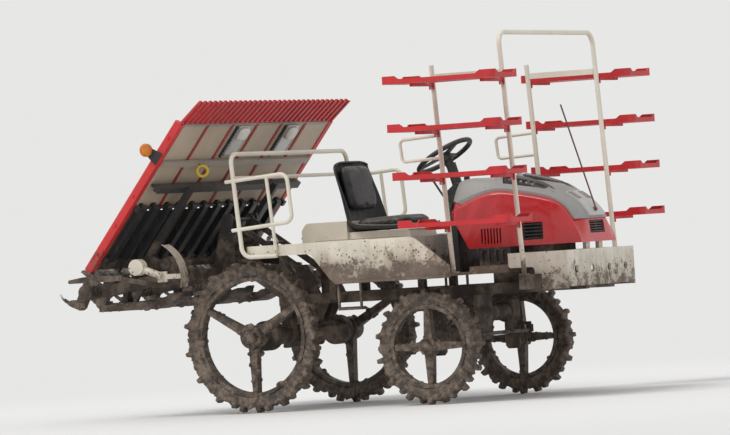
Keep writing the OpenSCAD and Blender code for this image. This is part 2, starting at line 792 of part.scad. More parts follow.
// Tray for a seedling box: a rim that rises in a hump at each end, and a slotted floor.
module rack_tray() {
  difference() {
    linear_extrude(rack_hump) round_rect(rack_l, rack_w, 30);
    translate([0, 0, rack_floor]) linear_extrude(rack_hump) round_rect(rack_l - 16, rack_w - 16, 24);
    dip(rack_l - 2 * hump_l, rack_w);
    rotate([0, 0, 90]) dip(rack_w - 120, rack_l);
    for (x = [-1, 1], y = [-3, -1, 1, 3])
      translate([x * rack_l * 0.29 - 55, y * rack_w / 9 - 7, -1]) cube([110, 14, rack_floor + 2]);
  }
}

// Cut that lowers a rim of the tray between its humps.
module dip(l, w) {
  rotate([90, 0, 0]) translate([0, 0, -w / 2 - 1]) linear_extrude(w + 2)
    polygon(rounded([[-l / 2 - 26, rack_hump + 1, 0], [-l / 2, rack_rim, 18],
                     [l / 2, rack_rim, 18], [l / 2 + 26, rack_hump + 1, 0]]));
}

// One rack level with its two arms from the posts.
module rack(side, level) {
  z = rack_z + level * rack_pitch;
  translate([xr + post_u(beam_u - post_gap / 2, z) + 20, side * rack_y, z]) rack_tray();
  y0 = post_y + post_d / 2 + seat_gap;
  for (du = [-post_gap, 0]) on_side(side) {
    u = post_u(beam_u + du, z);
    block(u - 10, u + 10, y0, rack_y, z - 16, z + eps);
    block(u - 16, u + 16, y0, y0 + 8, z - 34, z + 4);
  }
}

module racks_right() {
  color(red) for (level = [0 : 3]) rack(-1, level);
}

module racks_left() {
  color(red) for (level = [0 : 3]) rack(1, level);
}

// Bonnet line seen from the side, at its shoulder and along its crown. Columns:
// shoulder along, shoulder up, crown along, crown up, as shares of length and height.
bonnet_line = [
  [0.120, 0.000, 0.120, 0.000],
  [0.040, 0.330, 0.050, 0.420],
  [0.000, 0.560, 0.010, 0.900],
  [0.100, 0.660, 0.095, 1.000],
  [0.227, 0.764, 0.234, 0.992],
  [0.337, 0.808, 0.373, 0.966],
  [0.491, 0.774, 0.538, 0.909],
  [0.720, 0.675, 0.690, 0.842],
  [0.839, 0.574, 0.810, 0.706],
  [0.910, 0.395, 0.906, 0.571],
  [0.978, 0.158, 0.978, 0.364],
  [0.996, 0.050, 0.996, 0.130],
  [1.000, 0.000, 1.000, 0.000]
];
function nose_u(share) = bonnet_rear_u + share * bonnet_l;

// The line at a blend between the shoulder (0) and the crown (1), with its arch
// lowered by drop near the sides.
function bonnet_at(blend, drop = 0) =
  [for (row = bonnet_line)
    [nose_u(row[0] + (row[2] - row[0]) * blend),
     bonnet_low_z + bonnet_h * (row[1] + (row[3] - row[1]) * blend) * (1 - drop)]];

// Smooth line through points, with steps pieces between each two.
function smooth(p, steps) = let (n = len(p) - 1)
  [for (i = [0 : n - 1], k = [0 : steps - 1])
     let (t = k / steps, a = p[max(i - 1, 0)], b = p[i], c = p[i + 1], d = p[min(i + 2, n)])
     b + t * ((c - a) / 2 + t * ((2 * a - 5 * b + 4 * c - d) / 2 + t * (3 * b - 3 * c + d - a) / 2)),
   p[n]];

// The line moved by d towards the outside, for lines that run from the rear to the nose.
function moved(p, d) =
  [for (i = [0 : len(p) - 1])
     let (v = unit(p[min(i + 1, len(p) - 1)] - p[max(i - 1, 0)])) p[i] + d * [-v[1], v[0]]];

// Rings of the bonnet across the machine. Columns: share of the half width, blend, drop.
bonnet_rings = [[1, 0, 0.05], [0.975, 0, 0.015], [0.92, 0, 0], [0.87, 0.06, 0], [0.80, 0.34, 0],
                [0.72, 0.66, 0], [0.62, 0.92, 0], [0.54, 1, 0]];

// Solid form of the bonnet, shrunk by wall and open below when wall is above 0.
module bonnet_form(wall) {
  half = bonnet_half_w - wall;
  right = [for (row = bonnet_rings) concat([-row[0] * half], [row[1], row[2]])];
  left = [for (i = [len(right) - 1 : -1 : 0]) [-right[i][0], right[i][1], right[i][2]]];
  skin([for (row = concat(right, left))
    let (line = moved(smooth(bonnet_at(row[1], row[2]), 3), -wall),
         last = len(line) - 1,
         closed = wall == 0 ? line
           : concat([[line[0][0], line[0][1] - 30]], line, [[line[last][0], line[last][1] - 30]]))
    [for (p = closed) [xr + p[0], row[0], p[1]]]]);
}

// The bonnet's shell. resize([0, 0, 0]) keeps its size, and has the two lofts and
// the openings cut as one mesh, which stays closed along their many short edges.
module bonnet_shell() {
  color(red) resize([0, 0, 0]) difference() {
    bonnet_form(0);
    bonnet_form(bonnet_t);
    block(bonnet_rear_u - 60, bonnet_rear_u + 60, -bonnet_half_w + 24, bonnet_half_w - 24,
          bonnet_low_z - 10, bonnet_low_z + bonnet_h * 0.5);
    side_openings();
    block(nose_u(0.955), nose_u(1.02), -grille_half_w, grille_half_w, grille_z, grille_z + grille_h);
  }
}

// Louvres and the square vent through both sides of the bonnet.
module side_openings() {
  both_sides() {
    for (i = [0 : louvres - 1])
      block(nose_u(0.222) + i * louvre_pitch, nose_u(0.222) + i * louvre_pitch + 9,
            bonnet_half_w - 30, bonnet_half_w + 10, bonnet_low_z + 22, bonnet_low_z + 108);
    block(vent_u, vent_u + vent_l, bonnet_half_w - 30, bonnet_half_w + 10, vent_z, vent_z + vent_h);
  }
}

// Grey cover that follows the crown from shoulder to shoulder, with two tapered air
// hoods and their slats. It is cut as one mesh, as the shell is.
module bonnet_top() {
  color(grey) resize([0, 0, 0]) difference() {
    union() {
      intersection() {
        bonnet_form(-crown_t);
        crown_clip(crown_edge);
      }
      intersection() {
        bonnet_form(-crown_t - hood_h - 30);
        air_hoods();
      }
    }
    bonnet_form(-seat_gap);
    for (k = [0 : hood_slats - 1])
      both_sides() block(hood_u + 40 + k * 34, hood_u + 56 + k * 34, hood_y1 - 9, hood_y1 + 1,
                         bonnet_low_z + 0.5 * bonnet_h, bonnet_low_z + bonnet_h + 60);
  }
}

// Side view of the crown cover's reach, down to the top of the grille.
module crown_clip(half_w) {
  nose_z = grille_z + grille_h + 12;
  side_form(-half_w, half_w) polygon([[bonnet_rear_u - 30, bonnet_low_z + 0.74 * bonnet_h],
    [nose_u(0.25), bonnet_low_z + 0.5 * bonnet_h], [nose_u(0.6), nose_z], [nose_u(1.1), nose_z],
    [nose_u(1.1), bonnet_low_z + 1.3 * bonnet_h], [bonnet_rear_u - 30, bonnet_low_z + 1.3 * bonnet_h]]);
}

// Wedges that stand above the crown at the rear end and run out towards the nose.
module air_hoods() {
  line = [for (i = [14 : 23]) let (p = moved(crown_line, 0)[i]) p];
  top = [for (i = [0 : len(line) - 1]) line[i] + [0, hood_h * (1 - i / (len(line) - 1)) + crown_t - 4]];
  for (side = [-1, 1])
    side_form(min(side * hood_y0, side * hood_y1), max(side * hood_y0, side * hood_y1))
      polygon(concat([for (p = line) p - [0, 90]], [for (i = [len(top) - 1 : -1 : 0]) top[i]]));
}

// Line of the crown in the bonnet's fine steps, and the place of the sighting pole on it.
crown_line = smooth(bonnet_at(1), 3);
pole_step = 29;

// Panel over the crown between two of its steps, from height t0 to t1 above it.
module over_crown(i0, i1, t0, t1, half_w) {
  low = moved(crown_line, t0);
  high = moved(crown_line, t1);
  side_form(-half_w, half_w)
    polygon(concat([for (i = [i0 : i1]) low[i]], [for (i = [i1 : -1 : i0]) high[i]]));
}

// Grey panel over the nose that holds the lamps, ending above the grille.
module nose_panel() {
  color(grey) difference() {
    over_crown(24, 30, crown_t + seat_gap, crown_t + panel_t, crown_half_w);
    both_sides() on_nose(66) translate([-lamp_w / 2 - seat_gap, -lamp_h / 2 - seat_gap, -40])
      cube([lamp_w + 2 * seat_gap, lamp_h + 2 * seat_gap, 80]);
  }
}

// Shapes in the plane of the nose between its line's ninth and tenth points.
module on_nose(y) {
  a = bonnet_at(1)[8];
  b = bonnet_at(1)[9];
  mid = (a + b) / 2;
  translate([xr + mid[0], y, mid[1]]) rotate([0, atan2(a[1] - b[1], b[0] - a[0]), 0]) children();
}

module headlamps() {
  color(glass) both_sides() on_nose(66) translate([-lamp_w / 2, -lamp_h / 2, crown_t + 5])
    cube([lamp_w, lamp_h, panel_t]);
}

// Bar in the wall of the nose between two heights, following its line.
module nose_bar(y0, y1, z0, z1) {
  a = bonnet_at(1)[10];
  b = bonnet_at(1)[11];
  low = a[0] + (a[1] - z0) / (a[1] - b[1]) * (b[0] - a[0]);
  high = a[0] + (a[1] - z1) / (a[1] - b[1]) * (b[0] - a[0]);
  side_form(y0, y1) polygon([[low - 12, z0], [low - 3, z0], [high - 3, z1], [high - 12, z1]]);
}

// Black slats in the nose, the side openings and the crown's slots.
module bonnet_grilles() {
  edge = grille_half_w - seat_gap;
  color(black) union() {
    for (i = [0 : 4])
      nose_bar(-edge, edge, grille_z + 4 + i * grille_h / 5, grille_z + 4 + (i + 0.5) * grille_h / 5);
    for (y = [-edge, -5, edge - 10]) nose_bar(y, y + 10, grille_z + 4, grille_z + 0.9 * grille_h);
  }
  color(black) both_sides() union() {
    for (i = [0 : 4])
      block(vent_u + seat_gap, vent_u + vent_l - seat_gap, bonnet_half_w - 16, bonnet_half_w - 4,
            vent_z + 4 + i * vent_h / 5, vent_z + 4 + (i + 0.45) * vent_h / 5);
    for (u = [vent_u + seat_gap, vent_u + vent_l - 8 - seat_gap])
      block(u, u + 8, bonnet_half_w - 20, bonnet_half_w - 8, vent_z + seat_gap, vent_z + vent_h - seat_gap);
  }
}

// Steering knuckle with its final drive case reaching down to the wheel hub.
module knuckle(side) {
  pin_z = tie_z - 16;
  color(dark) on_side(side) union() {
    at(wheelbase, kingpin_y, front_r - 40)
      cylinder(d = housing_d - 8, h = housing_low - seat_gap - front_r + 40);
    at(wheelbase, kingpin_y, front_r - 58) cylinder(d1 = 60, d2 = housing_d - 8, h = 18);
    cross_bar(wheelbase, front_r, kingpin_y - 20, wheel_y - front_wheel_w / 2 + 12, 84);
    cross_bar(wheelbase, front_r, wheel_y - front_wheel_w / 2, wheel_y + 20, front_bore - 2 * run_gap);
    block(wheelbase, wheelbase + steer_arm, kingpin_y - 20, kingpin_y + 20, arm_z, arm_z + arm_t);
    at(wheelbase + steer_arm, kingpin_y, pin_z) cylinder(d = steer_pin_d, h = arm_z + arm_t - pin_z);
  }
}

module knuckle_right() { knuckle(-1); }
module knuckle_left() { knuckle(1); }

module tie_rod() {
  color(dark) difference() {
    union() {
      cross_bar(wheelbase + steer_arm, tie_z, -kingpin_y, kingpin_y, 22);
      both_sides() at(wheelbase + steer_arm, kingpin_y, tie_z - 12)
        cylinder(d = 40, h = arm_z - seat_gap - tie_z + 12);
    }
    both_sides() at(wheelbase + steer_arm, kingpin_y, tie_z - 18)
      cylinder(d = steer_pin_d + 2 * run_gap, h = arm_z - tie_z + 20);
  }
}

module steering_wheel() {
  color(dark) at(steer_u, 0, steer_z) rotate([0, -steer_tilt, 0]) union() {
    rotate_extrude() translate([steer_wheel_d / 2 - 14, 0]) circle(d = 28);
    for (a = [90, 210, 330]) rotate([0, 0, a])
      translate([0, 0, -6]) linear_extrude(12)
        polygon([[0, -22], [steer_wheel_d / 2 - 14, -11], [steer_wheel_d / 2 - 14, 11], [0, 22]]);
    translate([0, 0, -steer_hub_h]) cylinder(d = 76, h = steer_hub_h + 10);
  }
}

// Ring section around an axle that runs along Y.
module ring(r_out, r_in, w) {
  rotate([90, 0, 0]) rotate_extrude() translate([r_in, -w / 2]) square([r_out - r_in, w]);
}

// Tyre with paddle lugs that taper towards their tips, left and right in turn.
module tyre(r, w, lugs) {
  tip = lug_t * 0.72;
  color(mud) union() {
    ring(r - lug_h, r - lug_h - ring_depth, w * 0.6);
    for (i = [0 : 2 * lugs - 1]) rotate([0, i * 180 / lugs, 0])
      translate([0, (i % 2 ? -w / 2 : -w * 0.08) + w * 0.58, 0]) rotate([90, 0, 0]) linear_extrude(w * 0.58)
        polygon([[r - lug_h - 6, -lug_t / 2], [sqrt(r * r - tip * tip / 4), -tip / 2],
                 [sqrt(r * r - tip * tip / 4), tip / 2], [r - lug_h - 6, lug_t / 2]]);
  }
}

module rim(r, w, hub_d, spokes, bore) {
  color(mud) difference() {
    union() {
      ring(r, r - 22, w * 0.5);
      rotate([90, 0, 0]) cylinder(d = hub_d, h = w * 0.7, center = true);
      for (i = [0 : spokes - 1]) rotate([0, 90 - i * 360 / spokes, 0])
        translate([0, w * 0.2, 0]) rotate([90, 0, 0]) linear_extrude(w * 0.4)
          polygon([[hub_d / 2 - 10, -26], [r - 12, -15], [r - 12, 15], [hub_d / 2 - 10, 26]]);
    }
    rotate([90, 0, 0]) cylinder(d = bore, h = w, center = true);
  }
}

module front_rim(side)
  at(wheelbase, side * wheel_y, front_r)
    rim(front_r - lug_h - ring_depth - seat_gap, front_wheel_w, 100, front_spokes, front_bore);
module front_tyre(side) at(wheelbase, side * wheel_y, front_r) tyre(front_r, front_wheel_w, front_lugs);
module rear_rim(side)
  at(0, side * wheel_y, rear_r)
    rim(rear_r - lug_h - ring_depth - seat_gap, rear_wheel_w, 130, rear_spokes, rear_bore);
module rear_tyre(side) at(0, side * wheel_y, rear_r) tyre(rear_r, rear_wheel_w, rear_lugs);
module front_rim_right() front_rim(-1);
module front_tyre_right() front_tyre(-1);
module front_rim_left() front_rim(1);
module front_tyre_left() front_tyre(1);
module rear_rim_right() rear_rim(-1);
module rear_tyre_right() rear_tyre(-1);
module rear_rim_left() rear_rim(1);
module rear_tyre_left() rear_tyre(1);

// Lift link arm seen from the side, from the chassis pin to the planter pin.
module link_arm(z_front, y0, y1) {
  side_form(y0, y1) union() {
    translate([pivot_u, z_front]) circle(d = link_eye_d);
    translate([hitch_u, z_front + link_dz]) circle(d = link_eye_d);
    translate([pivot_u, z_front]) rotate(180 - link_raise)
      translate([0, -link_h / 2]) square([link_l, link_h]);
  }
}

module lower_link() {
  brace = link_l * 0.6;
  color(dark) union() {
    for (side = [-1, 1])
      link_arm(pivot_low_z, side * link_y - link_t / 2, side * link_y + link_t / 2);
    both_sides() cross_bar(pivot_u, pivot_low_z, link_y, link_y + 45, link_pin_d - 2 * run_gap);
    cross_bar(hitch_u, hitch_low_z, -link_y - 45, link_y + 45, link_pin_d - 2 * run_gap);
    cross_bar(pivot_u - brace * cos(link_raise), pivot_low_z + brace * sin(link_raise),
              -link_y, link_y, 32);
  }
}

module upper_link() {
  color(dark) union() {
    for (side = [-1, 1])
      link_arm(pivot_up_z, side * link_y - link_t / 2, side * link_y + link_t / 2);
    both_sides() cross_bar(pivot_u, pivot_up_z, link_y, link_y + 45, link_pin_d - 2 * run_gap);
    cross_bar(hitch_u, hitch_low_z + hitch_gap, -link_y - 45, link_y + 45, link_pin_d - 2 * run_gap);
    cross_bar(cyl_pin_u, cyl_pin_z, -link_y, link_y, cyl_pin_d);
  }
}

// Shapes along the lift cylinder, from its foot pin towards the upper link.
module along_cylinder() {
  at(cyl_u, 0, cyl_z) rotate([0, -90 + cyl_angle, 0]) children();
}

module lift_barrel() {
  color(dark) along_cylinder() difference() {
    union() {
      rotate([90, 0, 0]) cylinder(d = 44, h = 62, center = true);
      rotate([90, 0, 0]) cylinder(d = cyl_pin_d - 2 * run_gap, h = 86, center = true);
      translate([0, 0, 10]) cylinder(d = barrel_d, h = barrel_l - 10);
      translate([0, 0, barrel_l - 34]) cylinder(d = barrel_d + 8, h = 34);
      translate([0, 0, 26]) cylinder(d = barrel_d + 8, h = 22);
    }
    translate([0, 0, 30]) cylinder(d = rod_d + 2 * run_gap, h = barrel_l);
  }
}

// Lift rod whose eye is a slot, so that the upper link's pin can swing in it.
module lift_rod() {
  slot = 20;
  color(grey) along_cylinder() difference() {
    union() {
      translate([0, 0, cyl_len - 296]) cylinder(d = rod_d, h = 290);
      translate([0, 18, cyl_len]) rotate([90, 0, 0]) linear_extrude(36) long_hole(slot, 50);
    }
    translate([0, 30, cyl_len]) rotate([90, 0, 0]) linear_extrude(60) long_hole(slot, cyl_pin_d + 6);
  }
}

// Two circles one slot apart with the straight sides between them.
module long_hole(slot, d) {
  circle(d = d);
  translate([-d / 2, 0]) square([d, slot]);
  translate([0, slot]) circle(d = d);
}

// Point on the tray's slope, s up the slope and t towards the seedlings.
function slope_u(s, t) = tray_foot_u + s * cos(tray_angle) - t * sin(tray_angle);
function slope_z(s, t) = tray_foot_z + s * sin(tray_angle) + t * cos(tray_angle);
function slope_point(s, t) = [slope_u(s, t), slope_z(s, t)];

// Shapes in the tray's own frame: x up the slope, z towards the seedlings.
module on_slope() {
  at(tray_foot_u, 0, tray_foot_z) rotate([0, -tray_angle, 0]) children();
}

// Profile in the tray's own frame, extruded across the machine from y0 to y1.
module slope_form(y0, y1) {
  on_slope() translate([0, y1, 0]) rotate([90, 0, 0]) linear_extrude(y1 - y0) children();
}

module planter_frame() {
  color(dark) union() {
    block(bar_u - bar_h / 2, bar_u + bar_h / 2, -bar_half_l, bar_half_l,
          bar_z - bar_h / 2, bar_z + bar_h / 2);
    for (side = [-1, 1])
      difference() {
        side_form(side * ear_y - ear_t / 2, side * ear_y + ear_t / 2)
          polygon([[bar_u, bar_z - bar_h / 2], [hitch_u + 30, hitch_low_z - 34],
                   [hitch_u + 30, hitch_low_z + hitch_gap + 34],
                   [hitch_u - 30, hitch_low_z + hitch_gap + 34], [bar_u - bar_h / 2, bar_z + bar_h / 2]]);
        for (z = [hitch_low_z, hitch_low_z + hitch_gap])
          cross_bar(hitch_u, z, side * ear_y - 10, side * ear_y + 10, link_pin_d);
      }
    cross_bar(hitch_u - 15, hitch_low_z + hitch_gap / 2, -ear_y, ear_y, 30);
    tray_struts();
  }
}

// Struts from the toolbar that carry the guide rail and the tray's support bar.
module tray_struts() {
  foot = guide_s - seat_gap;
  low = strut_t - strut_d;
  for (y = [-strut_y, strut_y])
    side_form(y - 16, y + 16) polygon([
      slope_point(foot, 24), slope_point(foot, strut_t), slope_point(support_s + 45, strut_t),
      slope_point(support_s + 45, low), slope_point(150, low), [bar_u, bar_z],
      [bar_u - bar_h / 2, bar_z - bar_h / 2], slope_point(foot - 24, low), slope_point(foot - 24, 24)]);
  on_slope() translate([support_s, -support_half_l, strut_t - 6]) cube([40, 2 * support_half_l, 36]);
  on_slope() translate([support_s + 14, -support_half_l, strut_t + 29])
    cube([12, 2 * support_half_l, tray_low_t - seat_gap - strut_t - 29]);
}

// Planting cases: arms behind the toolbar with the rotor bores and the float ears.
module planting_cases() {
  front = bar_u - bar_h / 2 - seat_gap;
  color(dark) for (y = [-2, 0, 2]) translate([0, y * row_gap, 0])
    difference() {
      union() {
        side_form(-26, 26) polygon(rounded([
          [front, bar_z + 24, 0], [front, bar_z - 30, 0], [front - 110, bar_z - 46, 50],
          [rotor_u + 70, rotor_z - 34, 40], [rotor_u, rotor_z - 40, 0], [rotor_u, rotor_z + 40, 0],
          [rotor_u + 90, rotor_z + 36, 40], [front - 90, bar_z + 20, 60]]));
        cross_bar(rotor_u, rotor_z, -34, 34, 88);
        cross_bar(rotor_u, rotor_z, -46, 46, 62);
        side_form(-34, 34) polygon([[front, bar_z + 28], [front, bar_z - 34],
                                    [front - 14, bar_z - 34], [front - 14, bar_z + 28]]);
        side_form(-20, 20) union() {
          translate([float_pin_u - 18, float_pin_z]) square([36, 60]);
          translate([float_pin_u, float_pin_z]) circle(d = 36);
        }
      }
      cross_bar(rotor_u, rotor_z, -47, 47, rotor_shaft_d);
      cross_bar(float_pin_u, float_pin_z, -40, 40, float_pin_d);
    }
}

// Drive across the planting section: a pipe with a gear box on the toolbar over each
// case, each box standing on the toolbar.
module planter_drive() {
  low = bar_z + bar_h / 2 + seat_gap;
  color(dark) union() {
    cross_bar(drive_u, drive_z, -2 * row_gap, 2 * row_gap, drive_d);
    for (y = [-2, 0, 2]) translate([0, y * row_gap, 0]) {
      half = y == 0 ? 62 : 44;
      side_form(-half, half) polygon(rounded([
        [bar_u + 24, low, 0], [bar_u + 24, drive_z + 22, 26], [drive_u + 10, drive_z + 44, 40],
        [drive_u - 40, drive_z + 20, 34], [drive_u - 34, drive_z - 34, 26], [bar_u - 28, low, 0]]));
      cross_bar(drive_u, drive_z, -half - 12, half + 12, drive_d + 26);
    }
  }
}

// Guards at both ends of the planting section: a side plate outside the guide rail,
// its arm from the toolbar, the cap over the end drive and the curved hose guard.
module side_guards() {
  y0 = guide_half_l + seat_gap;
  color(dark) both_sides() union() {
    side_form(y0, y0 + 10) polygon(rounded([
      [-960, 792, 8], [-620, 792, 10], [-600, 822, 8], [-700, 826, 20], [-860, 826, 10], [-960, 812, 8]]));
    rod_between(at_u(bar_u - 24, bar_half_l - 20, bar_z - bar_h / 2 - 18),
                at_u(-640, y0 + 5, 806), 26);
    block(bar_u - 30, bar_u + 10, bar_half_l - 40, bar_half_l, bar_z - bar_h / 2 - 28,
          bar_z - bar_h / 2 - seat_gap);
  }
}

// White end caps of the drive, with the curved bands beside them.
module end_caps() {
  y0 = bar_half_l + seat_gap;
  color(cream) both_sides() union() {
    block(bar_u - 30, bar_u + 30, y0, y0 + 12, bar_z - 30, bar_z + 30);
    rod_between(at_u(bar_u, y0 + 22, bar_z + 6), at_u(-580, y0 + 34, 862), 40);
    cross_bar(-580, 862, y0 + 4, y0 + 60, 92);
    side_form(y0, y0 + 34) intersection() {
      difference() {
        translate([bar_u - 60, bar_z - 10]) circle(r = 214);
        translate([bar_u - 60, bar_z - 10]) circle(r = 202);
      }
      polygon([[bar_u - 60, bar_z - 10], [bar_u + 180, bar_z - 76], [bar_u + 180, bar_z + 220],
               [bar_u + 70, bar_z + 220]]);
    }
    block(bar_u + 20, bar_u + 148, y0, y0 + 12, bar_z - 14, bar_z + 14);
  }
}

// Rail under the tray with a gate at each lane, where the claws take the seedlings.
module guide_rail() {
  color(grey) difference() {
    on_slope() translate([guide_s, -guide_half_l, -30]) cube([guide_t, 2 * guide_half_l, 60]);
    for (i = [0 : rows - 1]) on_slope()
      translate([guide_s - 1, (i - rows / 2 + 0.5) * row_gap - 14, -31]) cube([guide_t + 2, 28, 40]);
  }
}

// Planting head in its lane's middle: an oval gear case on the shaft with a planting
// arm pivoted at each end. Each arm has a casing, a forked claw and, between its two
// prongs, the pusher that sets the seedling free.
module planting_head() {
  flat(-case_out, -case_in) {
    round_rect(2 * head_half_l, 66, 32);
    circle(d = 88);
    for (e = [-1, 1]) translate([e * arm_pin_x, 0]) circle(d = 60);
  }
  for (turn = [0, 180]) rotate([0, turn, 0]) {
    flat(-case_in - eps, arm_out) arm_casing();
    flat(-case_in - eps, arm_out + 6) translate([arm_pin_x, 0]) circle(d = 30);
    for (y = [-claw_gap, claw_gap]) flat(y - claw_t / 2, y + claw_t / 2) claw();
    flat(-2, 2) pusher();
  }
}

// Flat shape in the plane in which the claws turn, between two offsets along the shaft.
module flat(y0, y1) {
  translate([0, y1, 0]) rotate([90, 0, 0]) linear_extrude(y1 - y0) children();
}

module arm_casing() {
  translate([arm_pin_x, 0]) circle(d = 46);
  polygon(rounded([[arm_pin_x - 23, 0, 0], [arm_pin_x - 16, -40, 16], [arm_pin_x + 6, -70, 8],
                   [arm_pin_x + 24, -62, 8], [arm_pin_x + 26, -30, 16], [arm_pin_x + 23, 0, 0]]));
  translate([arm_pin_x - 4, 8]) rotate(24) translate([-14, 0]) square([28, 40]);
}

// One prong: a curve from the casing to its tip that narrows to a point.
module claw() {
  root = [arm_pin_x + 15, -54];
  knee = [arm_pin_x + 24, -104];
  tip = claw_r * [cos(claw_angle), sin(claw_angle)];
  steps = 8;
  side = function (t, w) (1 - t) * (1 - t) * root + 2 * t * (1 - t) * knee + t * t * tip + [w * (1 - t), 0];
  polygon(concat([for (k = [0 : steps]) side(k / steps, -6)],
                 [for (k = [steps - 1 : -1 : 0]) side(k / steps, 5)]));
}

module pusher() {
  polygon([[arm_pin_x + 4, -60], [arm_pin_x + 13, -60], [arm_pin_x + 10, -100], [arm_pin_x + 1, -98]]);
}

module rotor(y) {
  color(dark) translate([0, y, 0]) union() {
    cross_bar(rotor_u, rotor_z, -row_gap / 2 + case_in + 4, row_gap / 2 - case_in - 4,
              rotor_shaft_d - 2 * run_gap);
    both_sides() at(rotor_u, row_gap / 2, rotor_z) rotate([0, head_rest, 0]) planting_head();
  }
}

module rotor_right() rotor(-2 * row_gap);
module rotor_centre() rotor(0);
module rotor_left() rotor(2 * row_gap);

// Float with upturned nose and rounded ends, and the ears and pin of its rear pivot.
module float_form(y, half_w, u0, u1) {
  color(mud) translate([0, y, 0]) union() {
    intersection() {
      side_form(-half_w, half_w) polygon(rounded([
        [u0, float_z + 8, 6], [u0 + 10, float_z, 6], [u1 - 170, float_z, 120], [u1 - 20, float_z + 60, 10],
        [u1, float_z + 84, 8], [u1 - 30, float_z + 88, 8], [u1 - 180, float_z + 46, 60],
        [u0, float_z + 36, 12]]));
      translate([xr + (u0 + u1) / 2, 0, float_z - 10]) linear_extrude(120)
        round_rect(u1 - u0 + 2, 2 * half_w - 2 * eps, 56);
    }
    for (side = [-1, 1])
      side_form(side * 30 - 6, side * 30 + 6) union() {
        translate([float_pin_u - 18, float_z + 20]) square([36, float_pin_z - float_z - 20]);
        translate([float_pin_u, float_pin_z]) circle(d = 36);
      }
    cross_bar(float_pin_u, float_pin_z, -30, 30, float_pin_d - 2 * run_gap);
    for (side = [-1, 1]) side_form(side * half_w * 0.62 - 9, side * half_w * 0.62 + 9)
      polygon([[u0 + 40, float_z + 20], [u1 - 240, float_z + 30], [u1 - 260, float_z + 50],
               [u0 + 60, float_z + 48]]);
  }
}

module float_centre() float_form(0, float_half_w, -1040, -330);
module float_right() float_form(-side_float_y, float_half_w, -960, -400);
module float_left() float_form(side_float_y, float_half_w, -960, -400);

// Lane floors, each with two slots for its feed belts and shallow grooves above them.
module tray_bed() {
  lane_w = row_gap - 2 * lane_inset;
  color(tan_panel) on_slope() for (i = [0 : rows - 1])
    translate([0, (i - rows / 2) * row_gap + lane_inset, 0]) difference() {
      cube([tray_l, lane_w, lane_t]);
      for (y = belt_places) translate([belt_s - belt_gap, lane_w / 2 + y - belt_w / 2 - belt_gap, -1])
        cube([belt_l + 2 * belt_gap, belt_w + 2 * belt_gap, lane_t + 2]);
      for (k = [1 : 4]) translate([belt_s + belt_l + 90, k * lane_w / 5 - 5, lane_t - 3])
        cube([tray_l - belt_s - belt_l - 140, 10, 4]);
    }
}

// Two side rails, dividers between the lanes and their feet on the guide rail.
module tray_rails() {
  color(red) on_slope() {
    for (side = [-1, 1])
      translate([tray_shoe_s, side > 0 ? tray_inner : -tray_out, tray_low_t])
        rotate([90, 0, 90]) linear_extrude(tray_l - tray_low_t - tray_shoe_s)
          polygon(rounded([[0, 0, 4], [tray_rail_w, 0, 4], [tray_rail_w, tray_rail_h, 12],
                           [0, tray_rail_h, 12]]));
    for (i = [1 : rows - 1])
      translate([tray_shoe_s, (i - rows / 2) * row_gap, tray_low_t])
        rotate([90, 0, 90]) linear_extrude(tray_l - tray_shoe_s)
          polygon(rounded([[-lane_inset + seat_gap, 0, 0], [lane_inset - seat_gap, 0, 0],
                           [lane_inset - seat_gap, divider_h + 6, 8],
                           [-lane_inset + seat_gap, divider_h + 6, 8]]));
  }
}

// Corrugated top of the tray, its ribs running up the slope.
module tray_extension() {
  ribs = floor(2 * tray_out / rib_pitch) - 1;
  start = -ribs / 2 * rib_pitch;
  wave = [for (i = [0 : ribs]) let (y = start + i * rib_pitch)
    each [[y - 17, 0], [y - 12, rib_h], [y + 12, rib_h], [y + 17, 0]]];
  top = [for (p = wave) p + [0, sheet_t]];
  color(red) on_slope() translate([tray_l - tray_low_t + seat_gap, 0, 0])
    rotate([0, tray_angle - ext_angle, 0])
    rotate([90, 0, 90]) linear_extrude(ext_l) polygon(concat(
      [[-tray_out, 0]], wave, [[tray_out, 0], [tray_out, sheet_t]],
      [for (i = [len(top) - 1 : -1 : 0]) top[i]], [[-tray_out, sheet_t]]));
}

// Cross beam under the lanes, two bracket plates and the brackets of the lamps.
module tray_fittings() {
  low = tray_low_t - seat_gap;
  color(grey) {
    on_slope() translate([beam_s, -tray_inner, low - 19]) cube([36, 2 * tray_inner, 19]);
    for (y = [-150, 450]) on_slope() translate([tray_l - 200, y - 65, -seat_gap - 12]) difference() {
      cube([180, 130, 12]);
      translate([90, 65, -1]) cylinder(d = 60, h = 14);
    }
    for (s = [belt_s + belt_depth / 2, belt_s + belt_l - belt_depth / 2])
      both_sides() on_slope() translate([s - 16, tray_inner - 20 + seat_gap, lane_t - belt_depth - 1])
        cube([32, 30, low - lane_t + belt_depth + 1]);
    both_sides() slope_form(tray_out + seat_gap, tray_out + 6)
      polygon([[lamp_s - 40, tray_low_t + 6], [lamp_s + 40, tray_low_t + 6],
               [lamp_s + 22, lamp_t], [lamp_s - 22, lamp_t]]);
  }
}

